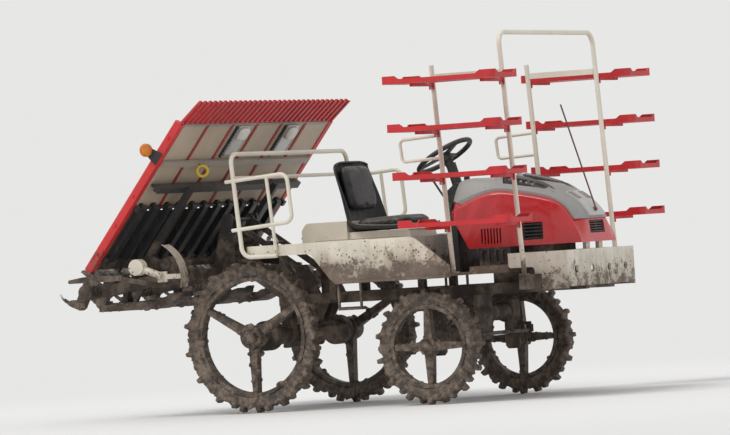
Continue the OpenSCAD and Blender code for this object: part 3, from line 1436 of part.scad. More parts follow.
// Pairs of feed belts in each lane, running on two shafts under the tray. The belts'
// cross bars are teeth of the profile.
module feed_belts() {
  low = lane_t - belt_depth - 1;
  shaft_t = (low + lane_t - 1) / 2;
  teeth = floor((belt_l - belt_depth) / tooth_pitch);
  color(black) union() {
    for (i = [0 : rows - 1], y = belt_places) {
      mid = (i - rows / 2 + 0.5) * row_gap + y;
      slope_form(mid - belt_w / 2, mid + belt_w / 2) union() {
        translate([belt_s + belt_depth / 2, shaft_t]) circle(d = belt_depth - 4);
        translate([belt_s + belt_l - belt_depth / 2, shaft_t]) circle(d = belt_depth - 4);
        polygon(concat([[belt_s + belt_depth / 2, low + 2]], [[belt_s + belt_l - belt_depth / 2, low + 2]],
          [for (k = [teeth - 1 : -1 : 0]) let (s = belt_s + belt_depth / 2 + 14 + k * tooth_pitch)
            each [[s + 8, lane_t - 3], [s + 5, lane_t - 0.8], [s - 5, lane_t - 0.8],
                  [s - 8, lane_t - 3]]]));
      }
    }
    for (s = [belt_s + belt_depth / 2, belt_s + belt_l - belt_depth / 2])
      on_slope() translate([s, tray_inner - 20, shaft_t]) rotate([90, 0, 0])
        cylinder(d = shaft_d, h = 2 * tray_inner - 40);
  }
}

// Round marker lamps on the brackets beside the tray.
module tray_lamps() {
  color(amber) both_sides() on_slope() translate([lamp_s, tray_out + 6 + seat_gap, lamp_t])
    rotate([-90, 0, 0]) union() {
      cylinder(d = lamp_d, h = 16);
      translate([0, 0, 16]) cylinder(d1 = lamp_d, d2 = lamp_d - 18, h = 10);
    }
}

main_frame();
transmission_case();
front_axle_case();
rear_axle_case();
engine_block();
floor_deck();
front_deck();
foot_steps();
side_covers();
seat_base();
seat();
steering_column();
dashboard();
shift_levers();
sighting_pole();
rear_handrail();
rear_posts();
front_hoop();
racks_right();
racks_left();
bonnet_shell();
bonnet_top();
nose_panel();
bonnet_grilles();
headlamps();
knuckle_right();
knuckle_left();
tie_rod();
steering_wheel();
front_rim_right();
front_tyre_right();
front_rim_left();
front_tyre_left();
rear_rim_right();
rear_tyre_right();
rear_rim_left();
rear_tyre_left();
lower_link();
upper_link();
lift_barrel();
lift_rod();
planter_frame();
planting_cases();
planter_drive();
side_guards();
end_caps();
guide_rail();
float_centre();
float_right();
float_left();
tray_bed();
tray_rails();
tray_extension();
tray_fittings();
feed_belts();
tray_lamps();
rotor_right();
rotor_centre();
rotor_left();
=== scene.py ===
# %% [markdown]
# # A riding rice transplanter, dressed for the studio
# The machine arrives as a fixed set of metal and plastic pieces at their real sizes.
# This notebook gives every one of them its finish, adds the soft and the muddy parts,
# and sets up the camera at the angle of the reference picture. All sizes are metres.

# %% Load the machine
import math

import bmesh
import bpy
import numpy as np
from mathutils import Matrix, Vector


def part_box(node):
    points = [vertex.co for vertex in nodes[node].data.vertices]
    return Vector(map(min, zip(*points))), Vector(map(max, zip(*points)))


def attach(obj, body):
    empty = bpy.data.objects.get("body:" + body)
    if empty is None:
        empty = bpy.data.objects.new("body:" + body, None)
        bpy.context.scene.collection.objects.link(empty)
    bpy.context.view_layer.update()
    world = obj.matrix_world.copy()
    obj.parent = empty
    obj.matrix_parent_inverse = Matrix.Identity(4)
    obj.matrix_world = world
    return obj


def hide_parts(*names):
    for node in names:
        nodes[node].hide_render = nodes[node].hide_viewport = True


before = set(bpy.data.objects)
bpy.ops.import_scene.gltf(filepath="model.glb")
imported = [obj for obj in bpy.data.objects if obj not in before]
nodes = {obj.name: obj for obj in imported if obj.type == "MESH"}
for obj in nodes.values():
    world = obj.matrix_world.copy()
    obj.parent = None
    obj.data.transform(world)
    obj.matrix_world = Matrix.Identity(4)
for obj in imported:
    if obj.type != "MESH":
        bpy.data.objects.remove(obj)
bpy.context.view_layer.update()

# %% [markdown]
# ## Where things are
# Stations along a machine are easiest to read from one axle. Here they count metres ahead
# of the rear axle, and one number turns such a station into the frame's own X.

# %% Stations and driving sizes
rear_axle_x = float(sum(corner[0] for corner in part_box("rear_rim_right")) / 2)
wheelbase = 1.100
rear_radius = 0.430
front_radius = 0.325
SIDES = ((-1, "right"), (1, "left"))


def station(u):
    """X in the frame of a place u metres ahead of the rear axle."""
    return rear_axle_x + u


print("rear axle at x =", round(rear_axle_x, 4))

# %% [markdown]
# ## Camera
# The picture was taken with a long lens from about 34 m, 27.5 degrees forward of square,
# and the machine stood 4 degrees nose-up in the field. Instead of tilting the machine, the
# camera is turned the other way, so every piece stays where its maker put it.

# %% Camera
view_turn = math.radians(27.5)
nose_up = math.radians(4.0)
view_distance = 34.0
view_height = 2.018
side_step = -0.1139
picture_w = 730
long_lens_px = 3000.0
picture_centre = (365.0, 97.0)
aim_px = (404.0, 179.0)
closer = 1.98


def level_machine(v):
    """Turns a direction or place of the field into the level machine: a turn by nose_up about Y."""
    x, y, z = v
    return Vector((x * math.cos(nose_up) + z * math.sin(nose_up), y,
                   z * math.cos(nose_up) - x * math.sin(nose_up)))


def aim_camera():
    """Places a long lens so that the machine is seen as in the picture, only larger."""
    forward = Vector((-math.sin(view_turn), math.cos(view_turn), 0.0))
    right = Vector((math.cos(view_turn), math.sin(view_turn), 0.0))
    place = -forward * view_distance + right * side_step + Vector((0, 0, view_height))
    ray = (forward * long_lens_px + right * (aim_px[0] - picture_centre[0])
           + Vector((0, 0, picture_centre[1] - aim_px[1])))
    back = level_machine(-ray.normalized())
    side = level_machine((0, 0, 1)).cross(back).normalized()
    data = bpy.data.cameras.new("camera")
    data.lens = long_lens_px * closer / picture_w * data.sensor_width
    data.clip_end = 200.0
    camera = bpy.data.objects.new("camera", data)
    origin = level_machine(place) + Vector((rear_axle_x, 0, 0))
    turn = Matrix((side, back.cross(side), back)).transposed().to_4x4()
    camera.matrix_world = Matrix.Translation(origin) @ turn
    bpy.context.scene.collection.objects.link(camera)
    bpy.context.scene.camera = camera
    print("lens", round(data.lens, 1), "mm at", [round(v, 2) for v in origin])


aim_camera()

# %% [markdown]
# ## Shader sums as plain Python
# A shader is a graph of small nodes, and long sums are hard to read when every plus sign is
# a node. The class below wraps one socket. Its operators add the Math nodes, so a mask can
# be written as it would be on paper. Any other node comes from one method.

# %% A surface recipe
COLOUR_MIX = {"data_type": "RGBA", "clamp_factor": True}


class Value:
    """A number that varies over a surface. Python's operators on it add Math nodes."""

    def __init__(self, recipe, socket):
        self.recipe = recipe
        self.socket = socket

    def _sum(self, operation, first, second):
        return self.recipe.node("Math", {"operation": operation}, {0: first, 1: second})

    def __add__(self, other):
        return self._sum("ADD", self, other)

    def __radd__(self, other):
        return self._sum("ADD", other, self)

    def __sub__(self, other):
        return self._sum("SUBTRACT", self, other)

    def __rsub__(self, other):
        return self._sum("SUBTRACT", other, self)

    def __mul__(self, other):
        return self._sum("MULTIPLY", self, other)

    def __rmul__(self, other):
        return self._sum("MULTIPLY", other, self)


class Recipe:
    """One material, built up node by node."""

    def __init__(self, name):
        self.material = bpy.data.materials.new(name)
        self.material.use_nodes = True
        self.tree = self.material.node_tree
        self.shader = self.tree.nodes["Principled BSDF"]
        place = self.tree.nodes.new("ShaderNodeTexCoord")
        self.place = Value(self, place.outputs["Object"])
        self.facing = Value(self, place.outputs["Normal"])
        self.height = self.node("SeparateXYZ", {}, {0: self.place}, out="Z")

    def node(self, kind, settings, links, out=0):
        """Adds a shader node: its settings first, then a value or a link for each socket."""
        made = self.tree.nodes.new("ShaderNode" + kind)
        for key, value in settings.items():
            setattr(made, key, value)
        for key, value in links.items():
            self.plug(made.inputs[key], value)
        return Value(self, made.outputs[out])

    def plug(self, socket, value):
        """Links a Value to a socket, or writes a plain number or colour there."""
        if isinstance(value, Value):
            self.tree.links.new(value.socket, socket)
        elif socket.type == "RGBA" and len(value) == 3:
            socket.default_value = (*value, 1)
        else:
            socket.default_value = value

    def noise(self, scale, detail=3.0, rough=0.55, at=None):
        """Cloudy noise from about 0.3 to 0.7, with that many lumps to the metre."""
        return self.node("TexNoise", {}, {"Vector": at or self.place, "Scale": scale,
                                          "Detail": detail, "Roughness": rough})

    def cells(self, scale):
        """Distance to the nearest of many scattered points."""
        return self.node("TexVoronoi", {}, {"Vector": self.place, "Scale": scale})

    def stretched(self, x, y, z):
        """The place on the piece, scaled by its own number along each axis."""
        return self.node("Mapping", {}, {"Vector": self.place, "Scale": (x, y, z)})

    def band(self, value, low, high):
        """A smooth step that is 0 below low and 1 above high."""
        return self.node("MapRange", {"interpolation_type": "SMOOTHSTEP"},
                         {0: value, 1: low, 2: high, 3: 0.0, 4: 1.0})

    def mix(self, amount, first, second):
        """Between two colours, by amount."""
        return self.node("Mix", COLOUR_MIX, {0: amount, 6: first, 7: second}, out=2)

    def set(self, **inputs):
        """Writes the shader's own sockets; an underscore stands for a space in a name."""
        for key, value in inputs.items():
            self.plug(self.shader.inputs[key.replace("_", " ")], value)

    def bump(self, height, distance, strength=1.0, under=None):
        """Raises the surface by height times distance, on top of another bump."""
        links = {"Height": height, "Distance": distance, "Strength": strength}
        if under is not None:
            links["Normal"] = under
        return self.node("Bump", {}, links)


# %% [markdown]
# ## The field's mud
# Everything on this machine wears the same clay: thick and dark on the wheels, splashed in
# drops on the skirts, and only a film of dust higher up. So the mud is one recipe that the
# other finishes are given to. It returns where the mud lies and what colour it has there.

# %% Mud
WET_CLAY = (0.050, 0.036, 0.028)
DAMP_CLAY = (0.135, 0.102, 0.077)
DRY_CLAY = (0.215, 0.165, 0.125)
PALE_CLAY = (0.30, 0.24, 0.18)
WASHED_CLAY = (0.36, 0.285, 0.215)
DUST = (0.40, 0.34, 0.27)


def darker(colour, share):
    """A colour with each channel times share."""
    return tuple(share * c for c in colour)


def clay_colour(recipe, wet):
    """Clay that is dark where wet and paler where a crust has dried."""
    patches = recipe.band(recipe.noise(9, 5, 0.65), 0.40, 0.66)
    dry = recipe.mix(recipe.noise(160, 2, 0.6), DRY_CLAY, darker(DRY_CLAY, 0.72))
    return recipe.mix(patches, wet, dry)


def washed(recipe, base, low, high, amount):
    """A base colour under a thin dried film of clay, in soft drifts and in runs down it."""
    rise = recipe.band(recipe.height, high, low)
    drifts = recipe.noise(5.5, 5, 0.62)
    runs = recipe.noise(1.0, 4, 0.6, at=recipe.stretched(26, 26, 2.6))
    film = recipe.band(drifts * 0.60 + runs * 0.34 + rise * 0.46, 0.50, 0.92)
    return recipe.mix(film * amount, base, WASHED_CLAY)


def splashes(recipe, low, high, amount):
    """Mask of splashed mud: solid below the height low, thinning out to nothing at high."""
    rise = recipe.band(recipe.height, high, low)
    drops = 1 - recipe.band(recipe.cells(46), 0.10, 0.34)
    patches = recipe.noise(13, 5, 0.62)
    specks = recipe.noise(70, 3, 0.7)
    level = patches * 0.62 + specks * 0.30 + drops * 0.16 + rise * amount
    return recipe.band(level, 0.66, 0.80)


def dusty(recipe, base, amount):
    """A base colour with pale dust caught on the faces that look up."""
    up = recipe.node("SeparateXYZ", {}, {0: recipe.facing}, out="Z")
    film = recipe.band(up, 0.1, 1.0) * recipe.band(recipe.noise(5, 4, 0.6), 0.30, 0.72)
    return recipe.mix(film * amount, base, DUST)


# %% [markdown]
# ## Finishes
# A painted sheet, a glossy moulded cover and a dull moulded tray differ in few numbers: the
# colour, how it fades, how smooth it is and how much mud it carries. One function holds the
# steps that they share, and a table holds each finish's own numbers. The tray's lanes are
# also darkened towards their foot, by grease and by painted shade for the shadow under the
# tray, so they need to know how the tray slopes.

# %% The slope of the seedling tray
tray_angle = math.radians(51.3)
tray_foot = (station(-0.835), 0.862)
SLOPE = (math.cos(tray_angle), 0.0, math.sin(tray_angle))
SLOPE_FOOT = tray_foot[0] * SLOPE[0] + tray_foot[1] * SLOPE[2]
# Near black for grease, and painted shade for the shadow low under the tray.
GREASE_AND_SHADE = (0.020, 0.018, 0.017)
print("tray foot at", [round(c, 3) for c in tray_foot])


# %% Painted and moulded finishes
def coated(name, colour, rough, low, high, mud, dust, fade=0.16, metal=0.0, grain=0.0, coat=0.0,
           wash=0.0, wet=WET_CLAY, dark_below=None):
    """Paint or plastic with faded patches, fine orange peel, dust and splashed mud.

    grain is the depth of a moulded texture in metres, and low and high are the heights
    between which the mud thins out. The last argument gives a distance up the tray's slope
    below which the surface is darkened to near black: grease and wet rubber, and painted
    shade for the shadow under the tray.
    """
    recipe = Recipe(name)
    worn = recipe.noise(2.6, 4, 0.6)
    shade = recipe.mix(recipe.band(worn, 0.3, 0.7), darker(colour, 1 - fade), colour)
    streaks = recipe.band(recipe.noise(1.0, 3, 0.6, at=recipe.stretched(30, 30, 3)), 0.50, 0.74)
    shade = dusty(recipe, recipe.mix(streaks * (0.35 * dust), shade, DUST), dust)
    if wash:
        shade = washed(recipe, shade, low, high, wash)
    if dark_below is not None:
        # Painted shade: low on the tray the colour goes to near black, for grease and for the
        # shadow under the tray.
        up_slope = recipe.node("VectorMath", {"operation": "DOT_PRODUCT"},
                               {0: recipe.place, 1: SLOPE}, out="Value") - SLOPE_FOOT
        edge = up_slope + (recipe.noise(9, 4, 0.65) - 0.5) * 0.10
        shade = recipe.mix(recipe.band(edge, dark_below, dark_below - 0.05) * 0.93, shade, GREASE_AND_SHADE)
    mask = splashes(recipe, low, high, mud)
    recipe.set(Base_Color=recipe.mix(mask, shade, clay_colour(recipe, wet)))
    base_rough = recipe.noise(22, 4, 0.6) * 0.22 + (rough - 0.11)
    recipe.set(Roughness=base_rough + mask * (0.78 - rough))
    if metal:
        recipe.set(Metallic=(1 - mask) * metal)
    if coat:
        recipe.set(Coat_Weight=(1 - mask) * coat, Coat_Roughness=0.12)
    peel = recipe.bump(recipe.noise(420, 2, 0.5), 0.0004 + grain, 0.5)
    crust = mask * (recipe.noise(60, 4, 0.7) + 0.4)
    recipe.set(Normal=recipe.bump(crust, 0.004, 0.8, under=peel))
    return recipe.material


CREAM = (0.80, 0.745, 0.625)
PALE = (0.80, 0.79, 0.75)
# Columns: colour, roughness, the heights low and high, mud, dust, and what else is named.
COATS = {
    "cream_paint": (CREAM, 0.42, 0.62, 1.00, 0.36, 0.24, {"wash": 0.55, "wet": DAMP_CLAY}),
    "cream_deck": (CREAM, 0.42, 0.66, 1.04, 0.40, 0.30, {"wash": 0.95, "wet": DAMP_CLAY}),
    "cream_front": (CREAM, 0.42, 0.52, 0.93, 0.33, 0.30, {"wash": 0.75, "wet": DAMP_CLAY}),
    "red_cover": ((0.62, 0.016, 0.022), 0.30, 0.50, 0.95, 0.30, 0.12, {"fade": 0.22, "coat": 0.5}),
    "red_moulding": ((0.58, 0.020, 0.026), 0.46, 0.45, 0.90, 0.30, 0.16, {"grain": 0.0004}),
    "red_rail": ((0.62, 0.030, 0.032), 0.48, 0.70, 1.30, 0.34, 0.20, {"grain": 0.0003}),
    "red_divider": ((0.34, 0.022, 0.024), 0.52, 0.70, 1.30, 0.34, 0.22,
                    {"grain": 0.0003, "dark_below": 0.43}),
    "pole_skin": ((0.13, 0.040, 0.040), 0.50, 0.50, 0.95, 0.30, 0.20, {}),
    "tan_lane": ((0.52, 0.43, 0.325), 0.58, 0.75, 1.40, 0.30, 0.26,
                 {"grain": 0.0005, "dark_below": 0.46}),
    "tan_beam": ((0.36, 0.32, 0.27), 0.52, 0.75, 1.50, 0.34, 0.30, {}),
    "grey_cover": ((0.33, 0.33, 0.32), 0.46, 0.50, 1.00, 0.26, 0.30, {"grain": 0.0004}),
    "nose_grey": ((0.56, 0.56, 0.54), 0.42, 0.60, 1.08, 0.34, 0.25, {"grain": 0.0003}),
    "beige_guard": ((0.50, 0.43, 0.34), 0.50, 0.60, 1.20, 0.34, 0.35, {"wash": 0.5}),
    "hood_skin": ((0.018, 0.018, 0.020), 0.34, 0.50, 1.00, 0.30, 0.18,
                  {"grain": 0.0003, "coat": 0.3}),
    "mat_rubber": ((0.20, 0.185, 0.16), 0.66, 0.60, 1.20, 0.40, 0.60, {}),
    "pale_cap": (PALE, 0.42, 0.60, 1.25, 0.26, 0.20, {}),
    "black_moulding": ((0.022, 0.022, 0.024), 0.50, 0.55, 1.10, 0.36, 0.22, {"grain": 0.0004}),
    "dark_steel": ((0.040, 0.038, 0.038), 0.52, 0.62, 1.35, 0.58, 0.18, {}),
    "zinc_steel": ((0.46, 0.46, 0.45), 0.40, 0.60, 1.40, 0.40, 0.20, {"metal": 0.8}),
    "float_skin": ((0.42, 0.37, 0.30), 0.55, 0.60, 0.95, 0.72, 0.40, {}),
    "white_knob": (PALE, 0.35, 0.50, 0.90, 0.10, 0.20, {}),
    "yellow_knob": ((0.78, 0.56, 0.06), 0.40, 0.50, 0.90, 0.10, 0.25, {}),
}
skins = {name: coated(name, *row[:-1], **row[-1]) for name, row in COATS.items()}

# %% [markdown]
# A lamp's lens is clear plastic with a pattern pressed into its back, which breaks up the
# light. At this size a fine, even ripple in the surface does the same.


# %% Lenses
def lens(name, colour, rough, ripples, through):
    """Coloured lens plastic with a pressed ripple, a little light passing through it."""
    recipe = Recipe(name)
    worn = recipe.noise(30, 4, 0.6)
    shade = recipe.mix(recipe.band(worn, 0.35, 0.7), darker(colour, 0.62), colour)
    recipe.set(Base_Color=dusty(recipe, shade, 0.35), Roughness=worn * 0.2 + rough,
               Transmission_Weight=through, IOR=1.49,
               Normal=recipe.bump(recipe.noise(ripples, 1.0, 0.5), 0.0015, 0.5))
    return recipe.material


skins["clear_lens"] = lens("clear_lens", (0.30, 0.32, 0.33), 0.08, 220, 0.15)
skins["amber_lens"] = lens("amber_lens", (0.86, 0.26, 0.02), 0.16, 240, 0.25)

# %% [markdown]
# ## Caked wheels
# A wheel that has just come out of a paddy is nearly all mud. The rubber under it hardly
# shows, so the finish is thick clay with cracks, wet in the hollows.


# %% Caked mud
def caked(name, least_rough):
    """Thick clay with lumps, cracks and wet hollows, which are the smoothest part of it."""
    recipe = Recipe(name)
    lumps = recipe.noise(26, 6, 0.68)
    cracks = recipe.band(recipe.cells(70), 0.02, 0.30)
    clay = recipe.mix(recipe.band(lumps, 0.40, 0.66), WET_CLAY, DRY_CLAY)
    pale = recipe.band(recipe.noise(7, 4, 0.6), 0.52, 0.74)
    clay = recipe.mix(pale * 0.45, clay, PALE_CLAY)
    raised = lumps + cracks * 0.22 + recipe.noise(210, 3, 0.7) * 0.22
    # Painted shade: the pits of the cracks are darkened towards very dark clay.
    recipe.set(Base_Color=recipe.mix((1 - cracks) * 0.4, clay, darker(WET_CLAY, 0.5)),
               Roughness=recipe.band(lumps, 0.35, 0.62) * 0.45 + least_rough,
               Normal=recipe.bump(raised, 0.010, 0.9))
    return recipe.material


for name, least_rough in (("caked_rubber", 0.36), ("caked_steel", 0.42)):
    skins[name] = caked(name, least_rough)

# %% [markdown]
# ## Dressing the fixed pieces
# Each piece of the machine takes one finish. Its object keeps its place and its shape, and
# only the material in its slot changes.

# %% Finishes of the fixed pieces
FINISH = {
    "cream_paint": "seat_base rear_handrail rear_posts front_hoop end_caps",
    "cream_deck": "floor_deck",
    "cream_front": "front_deck",
    "red_moulding": "racks_right racks_left tray_extension",
    "pole_skin": "sighting_pole",
    "red_cover": "bonnet_shell",
    "clear_lens": "headlamps",
    "amber_lens": "tray_lamps",
    "red_rail": "tray_rails",
    "tan_lane": "tray_bed",
    "grey_cover": "bonnet_top nose_panel",
    "black_moulding": "side_covers seat steering_column shift_levers steering_wheel dashboard "
                      "bonnet_grilles feed_belts",
    "dark_steel": "main_frame transmission_case front_axle_case rear_axle_case engine_block "
                  "foot_steps knuckle_right knuckle_left tie_rod lower_link upper_link "
                  "lift_barrel planter_frame planting_cases rotor_right rotor_centre rotor_left "
                  "planter_drive side_guards",
    "zinc_steel": "lift_rod guide_rail tray_fittings",
    "float_skin": "float_centre float_right float_left",
    "caked_steel": "front_rim_right front_rim_left rear_rim_right rear_rim_left",
    "caked_rubber": "front_tyre_right front_tyre_left rear_tyre_right rear_tyre_left",
}


def dress(node, material):
    """Gives one fixed piece its finish in every slot."""
    mesh = nodes[node].data
    if not mesh.materials:
        mesh.materials.append(material)
    for i in range(len(mesh.materials)):
        mesh.materials[i] = material


for name, fixed in FINISH.items():
    for node in fixed.split():
        dress(node, skins[name])
print("dressed", sum(len(fixed.split()) for fixed in FINISH.values()), "of", len(nodes))

# %% [markdown]
# ## Surfaces from arrays
# The new pieces are surfaces worked out with numpy. A surface here is a grid of points: one
# parameter runs along the rows, the other along the columns, and either may close on itself.
# The whole grid is computed at once, and the faces are the grid's cells.


# %% From a grid to a piece
def grid_faces(rows, columns, closed_rows=False, closed_columns=True):
    """Quads between neighbours of a grid. Corner (i, j) is number i times columns plus j."""
    i, j = np.meshgrid(np.arange(rows if closed_rows else rows - 1),
                       np.arange(columns if closed_columns else columns - 1), indexing="ij")
    i, j = i.ravel(), j.ravel()
    down, right = (i + 1) % rows, (j + 1) % columns
    return np.stack([i * columns + j, i * columns + right, down * columns + right,
                     down * columns + j], axis=1)


def grid_points(x, y, z):
    """Three coordinates, each over the rows, the columns or both, as one array of points."""
    return np.stack(np.broadcast_arrays(x, y, z), axis=-1)


def joined(parts):
    """Several (points, faces) as one pair, with the face numbers moved along."""
    starts = np.cumsum([0] + [len(points) for points, _ in parts[:-1]])
    return (np.concatenate([points for points, _ in parts]),
            np.concatenate([faces + start for (_, faces), start in zip(parts, starts)]))


def make_piece(name, shape, skin, smooth=True):
    """Writes points (n, 3) and faces (m, 4) into a mesh, and a mesh into the scene."""
    points = np.asarray(shape[0], dtype=np.float32).reshape(-1, 3)
    faces = np.asarray(shape[1], dtype=np.int32)
    mesh = bpy.data.meshes.new(name)
    mesh.vertices.add(len(points))
    mesh.vertices.foreach_set("co", points.ravel())
    mesh.loops.add(faces.size)
    mesh.loops.foreach_set("vertex_index", faces.ravel())
    mesh.polygons.add(len(faces))
    mesh.polygons.foreach_set("loop_start", np.arange(len(faces)) * faces.shape[1])
    mesh.polygons.foreach_set("use_smooth", np.full(len(faces), smooth))
    mesh.update(calc_edges=True)
    mesh.validate()
    mesh.materials.append(skins[skin])
    piece = bpy.data.objects.new(name, mesh)
    bpy.context.scene.collection.objects.link(piece)
    return piece


def settle(piece, body, node=None):
    """Says what a piece rides on, and hides the fixed piece that it stands for."""
    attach(piece, body)
    if node:
        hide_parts(node)


def add_part(name, shape, skin, body, node=None, smooth=True):
    """A finished piece straight from its points and faces."""
    settle(make_piece(name, shape, skin, smooth), body, node)


# %% Shared sums
# An end is closed by a ring of this radius, too small to be seen.
TINY = 1e-5


def full_turn(count):
    """Angles evenly round a circle."""
    return np.linspace(0, 2 * np.pi, count, endpoint=False)


def unit(v):
    """Vectors brought to length 1."""
    return v / np.linalg.norm(v, axis=-1, keepdims=True)


def signed_power(value, exponent):
    """The size of value raised to exponent, with value's sign. It makes circles squarer."""
    return np.sign(value) * np.abs(value) ** exponent


def soft_step(value, low, high):
    """0 below low, 1 above high, and a smooth S between them."""
    t = np.clip((value - low) / (high - low), 0, 1)
    return t * t * (3 - 2 * t)


def wandering(points, size, seed, octaves=3):
    """Lumpy noise from about -1 to 1: sums of sine products that turn at unrelated rates.

    Each octave adds sin(a.p + s1) * sin(b.p + s2) + sin(c.p + s3) * sin(a.p + s4), with
    random directions a, b, c of one length, then doubles that length at half the height.
    """
    rng = np.random.default_rng(seed)
    total = np.zeros(points.shape[:-1])
    reach = 0.0
    for octave in range(octaves):
        turns = unit(rng.normal(size=(3, 3))) * (2 * np.pi * 2 ** octave / size)
        shift = rng.uniform(0, 2 * np.pi, 4)
        a, b, c = (points @ turn for turn in turns)
        total += (np.sin(a + shift[0]) * np.sin(b + shift[1])
                  + np.sin(c + shift[2]) * np.sin(a + shift[3])) * 0.5 ** octave
        reach += 0.5 ** octave
    return total / reach


def square_to(axes):
    """Two unit directions for each axis, square to it and to each other."""
    helper = np.where(np.abs(axes[..., 2:3]) < 0.9, (0.0, 0.0, 1.0), (1.0, 0.0, 0.0))
    first = unit(np.cross(axes, helper))
    return first, np.cross(axes, first)


def spokes(axes, sides):
    """Unit directions evenly round each axis: one direction's cosine and the other's sine."""
    first, second = square_to(axes)
    turn = full_turn(sides)[:, None]
    return first[..., None, :] * np.cos(turn) + second[..., None, :] * np.sin(turn)


# %% [markdown]
# ## Wheels in clay
# The paddy wheels are narrow rubber rings with tall lugs, set by turns to the left and to
# the right. Out of the field they are rounded lumps of clay: the gaps between the lugs are
# half full, and the inner edge is ragged. Modelling every clod would be endless, so the
# wheel is one closed surface. Its two parameters are the angle round the wheel and the
# way round the ring's section, and the clay is added to the height of each point.


# %% The clay ring of a wheel
def clay_wheel(axle, side_name, radius, width, lugs, seed):
    """A wheel ring whose height is the larger of lug and clay fill, with lumps on top.

    The section is a rounded rectangle, a superellipse of power 4: ring_h high and ring_w
    wide. A lug is a soft step of the angle from its middle, times a soft step across the
    ring, so lugs alternate between the sides. Where a lug stands, the point moves outwards
    by the lug's height and sideways by its overhang. It is flat for lug_flat to each side
    of its middle and ends at lug_foot.
    """
    node = axle + "_tyre_" + side_name
    middle = sum(np.array(corner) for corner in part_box(node)) / 2
    lug_h, ring_h, ring_w = 0.034, 0.058, width * 0.60
    lug_flat, lug_foot = 0.010, 0.019
    angle = full_turn(lugs * 2 * (18))[:, None]
    section = full_turn(52)[None, :]
    across, outward = signed_power(np.cos(section), 0.5), signed_power(np.sin(section), 0.5)
    tread = soft_step(outward, 0.1, 0.75)
    step = np.pi / lugs
    number = np.round(angle / step)
    off = np.abs(angle / step - number) * step * (radius - lug_h / 2)
    side = np.where(number % 2 < 0.5, 1.0, -1.0)
    stand = (1 - soft_step(off, lug_flat, lug_foot)) * soft_step(across * side, -0.42, -0.18)
    place = grid_points(radius * np.cos(angle), across * ring_w / 2, radius * np.sin(angle))
    fill = 0.26 + 0.34 * wandering(place, 0.30, seed) + 0.16 * wandering(place, 0.06, seed + 1)
    height = np.maximum(stand * 0.97, np.clip(fill, 0.0, 0.72)) * tread
    lumps = 0.0046 * wandering(place, 0.055, seed + 2, 4)
    ragged = 0.011 * np.clip(wandering(place, 0.12, seed + 3), 0, 1) * (1 - tread)
    mid = radius - lug_h - ring_h / 2
    distance = mid + outward * (ring_h / 2) + height * lug_h + lumps * (0.35 + 0.65 * tread)
    off_ground = radius - 0.0004
    distance = np.minimum(distance - ragged * soft_step(-outward, 0.4, 0.9), off_ground)
    overhang = (width - ring_w) / 2 * np.clip(height * 1.25, 0, 1) * soft_step(outward, 0.0, 0.5)
    reach = across * (ring_w / 2 + overhang) + lumps * np.abs(across) * 0.8
    widest = width / 2 + 0.002
    points = grid_points(middle[0] + distance * np.cos(angle),
                         middle[1] + np.clip(reach, -widest, widest),
                         radius + distance * np.sin(angle))
    add_part("clay_wheel_" + axle + "_" + side_name,
             (points, grid_faces(*points.shape[:2], closed_rows=True)), "caked_rubber",
             axle + "_wheel_" + side_name, node)


for side_name, rear_seed, front_seed in (("right", 11, 37), ("left", 23, 51)):
    clay_wheel("rear", side_name, rear_radius, 0.130, 16, rear_seed)
    clay_wheel("front", side_name, front_radius, 0.110, 14, front_seed)
print("four clay wheels")

# %% [markdown]
# ## Seat
# The seat is a black moulded pan with two pads. Foam pads are crowned, pull in between
# their corners and carry sewn channels. Inflating a closed cloth does this by itself: a
# slightly small pad is made even all over by a voxel remesh, blown up by the cloth
# simulation, and kept within its space. The channels are pressed in afterwards.


# %% Seat covers
def vinyl(name):
    """Black seat vinyl: a fine grain, a worn sheen and dust in its folds."""
    recipe = Recipe(name)
    worn = recipe.band(recipe.noise(9, 4, 0.6), 0.36, 0.68)
    shade = recipe.mix(worn, (0.016, 0.016, 0.018), (0.038, 0.036, 0.036))
    mask = splashes(recipe, 0.90, 1.35, 0.22)
    grain = recipe.bump(recipe.cells(900), 0.0004, 0.7)
    recipe.set(Base_Color=recipe.mix(mask * 0.6, dusty(recipe, shade, 0.16), DRY_CLAY),
               Roughness=recipe.noise(40, 3, 0.6) * 0.2 + 0.36,
               Normal=recipe.bump(recipe.noise(24, 4, 0.6), 0.003, 0.35, under=grain))
    return recipe.material


def pillow_shape(half, corner):
    """A closed rounded box about the origin: a superellipsoid with the given half sizes.

    Each coordinate is a product of cosines and sines of two angles, raised to 2 / corner.
    """
    lat = np.linspace(-np.pi / 2, np.pi / 2, 41)[:, None]
    lon = full_turn(72)[None, :]
    rise, tall, east, north = (signed_power(wave, 2 / corner) for wave in
                               (np.cos(lat), np.sin(lat), np.cos(lon), np.sin(lon)))
    points = grid_points(half[0] * rise * east, half[1] * rise * north, half[2] * tall)
    return points.reshape(-1, 3), grid_faces(41, 72)


def read(items, key, width, kind=float):
    """One property of all vertices, loops or faces of a mesh, as an array of (n, width)."""
    flat = np.empty(len(items) * width, dtype=kind)
    items.foreach_get(key, flat)
    return flat.reshape(-1, width)


def set_vertices(piece, points):
    """Writes an (n, 3) array back to the mesh's points."""
    piece.data.vertices.foreach_set("co", points.ravel())
    piece.data.update()


def modify(piece, kind, **settings):
    """Adds a modifier and writes its settings."""
    modifier = piece.modifiers.new(kind.lower(), kind)
    for key, value in settings.items():
        setattr(modifier, key, value)
    return modifier


def apply_modifiers(piece):
    """Replaces the piece's mesh by what its modifiers make of it, and removes them."""
    seen = piece.evaluated_get(bpy.context.evaluated_depsgraph_get())
    made = bpy.data.meshes.new_from_object(seen)
    old = piece.data
    piece.modifiers.clear()
    piece.data = made
    made.name = old.name
    bpy.data.meshes.remove(old)
    made.polygons.foreach_set("use_smooth", np.full(len(made.polygons), True))


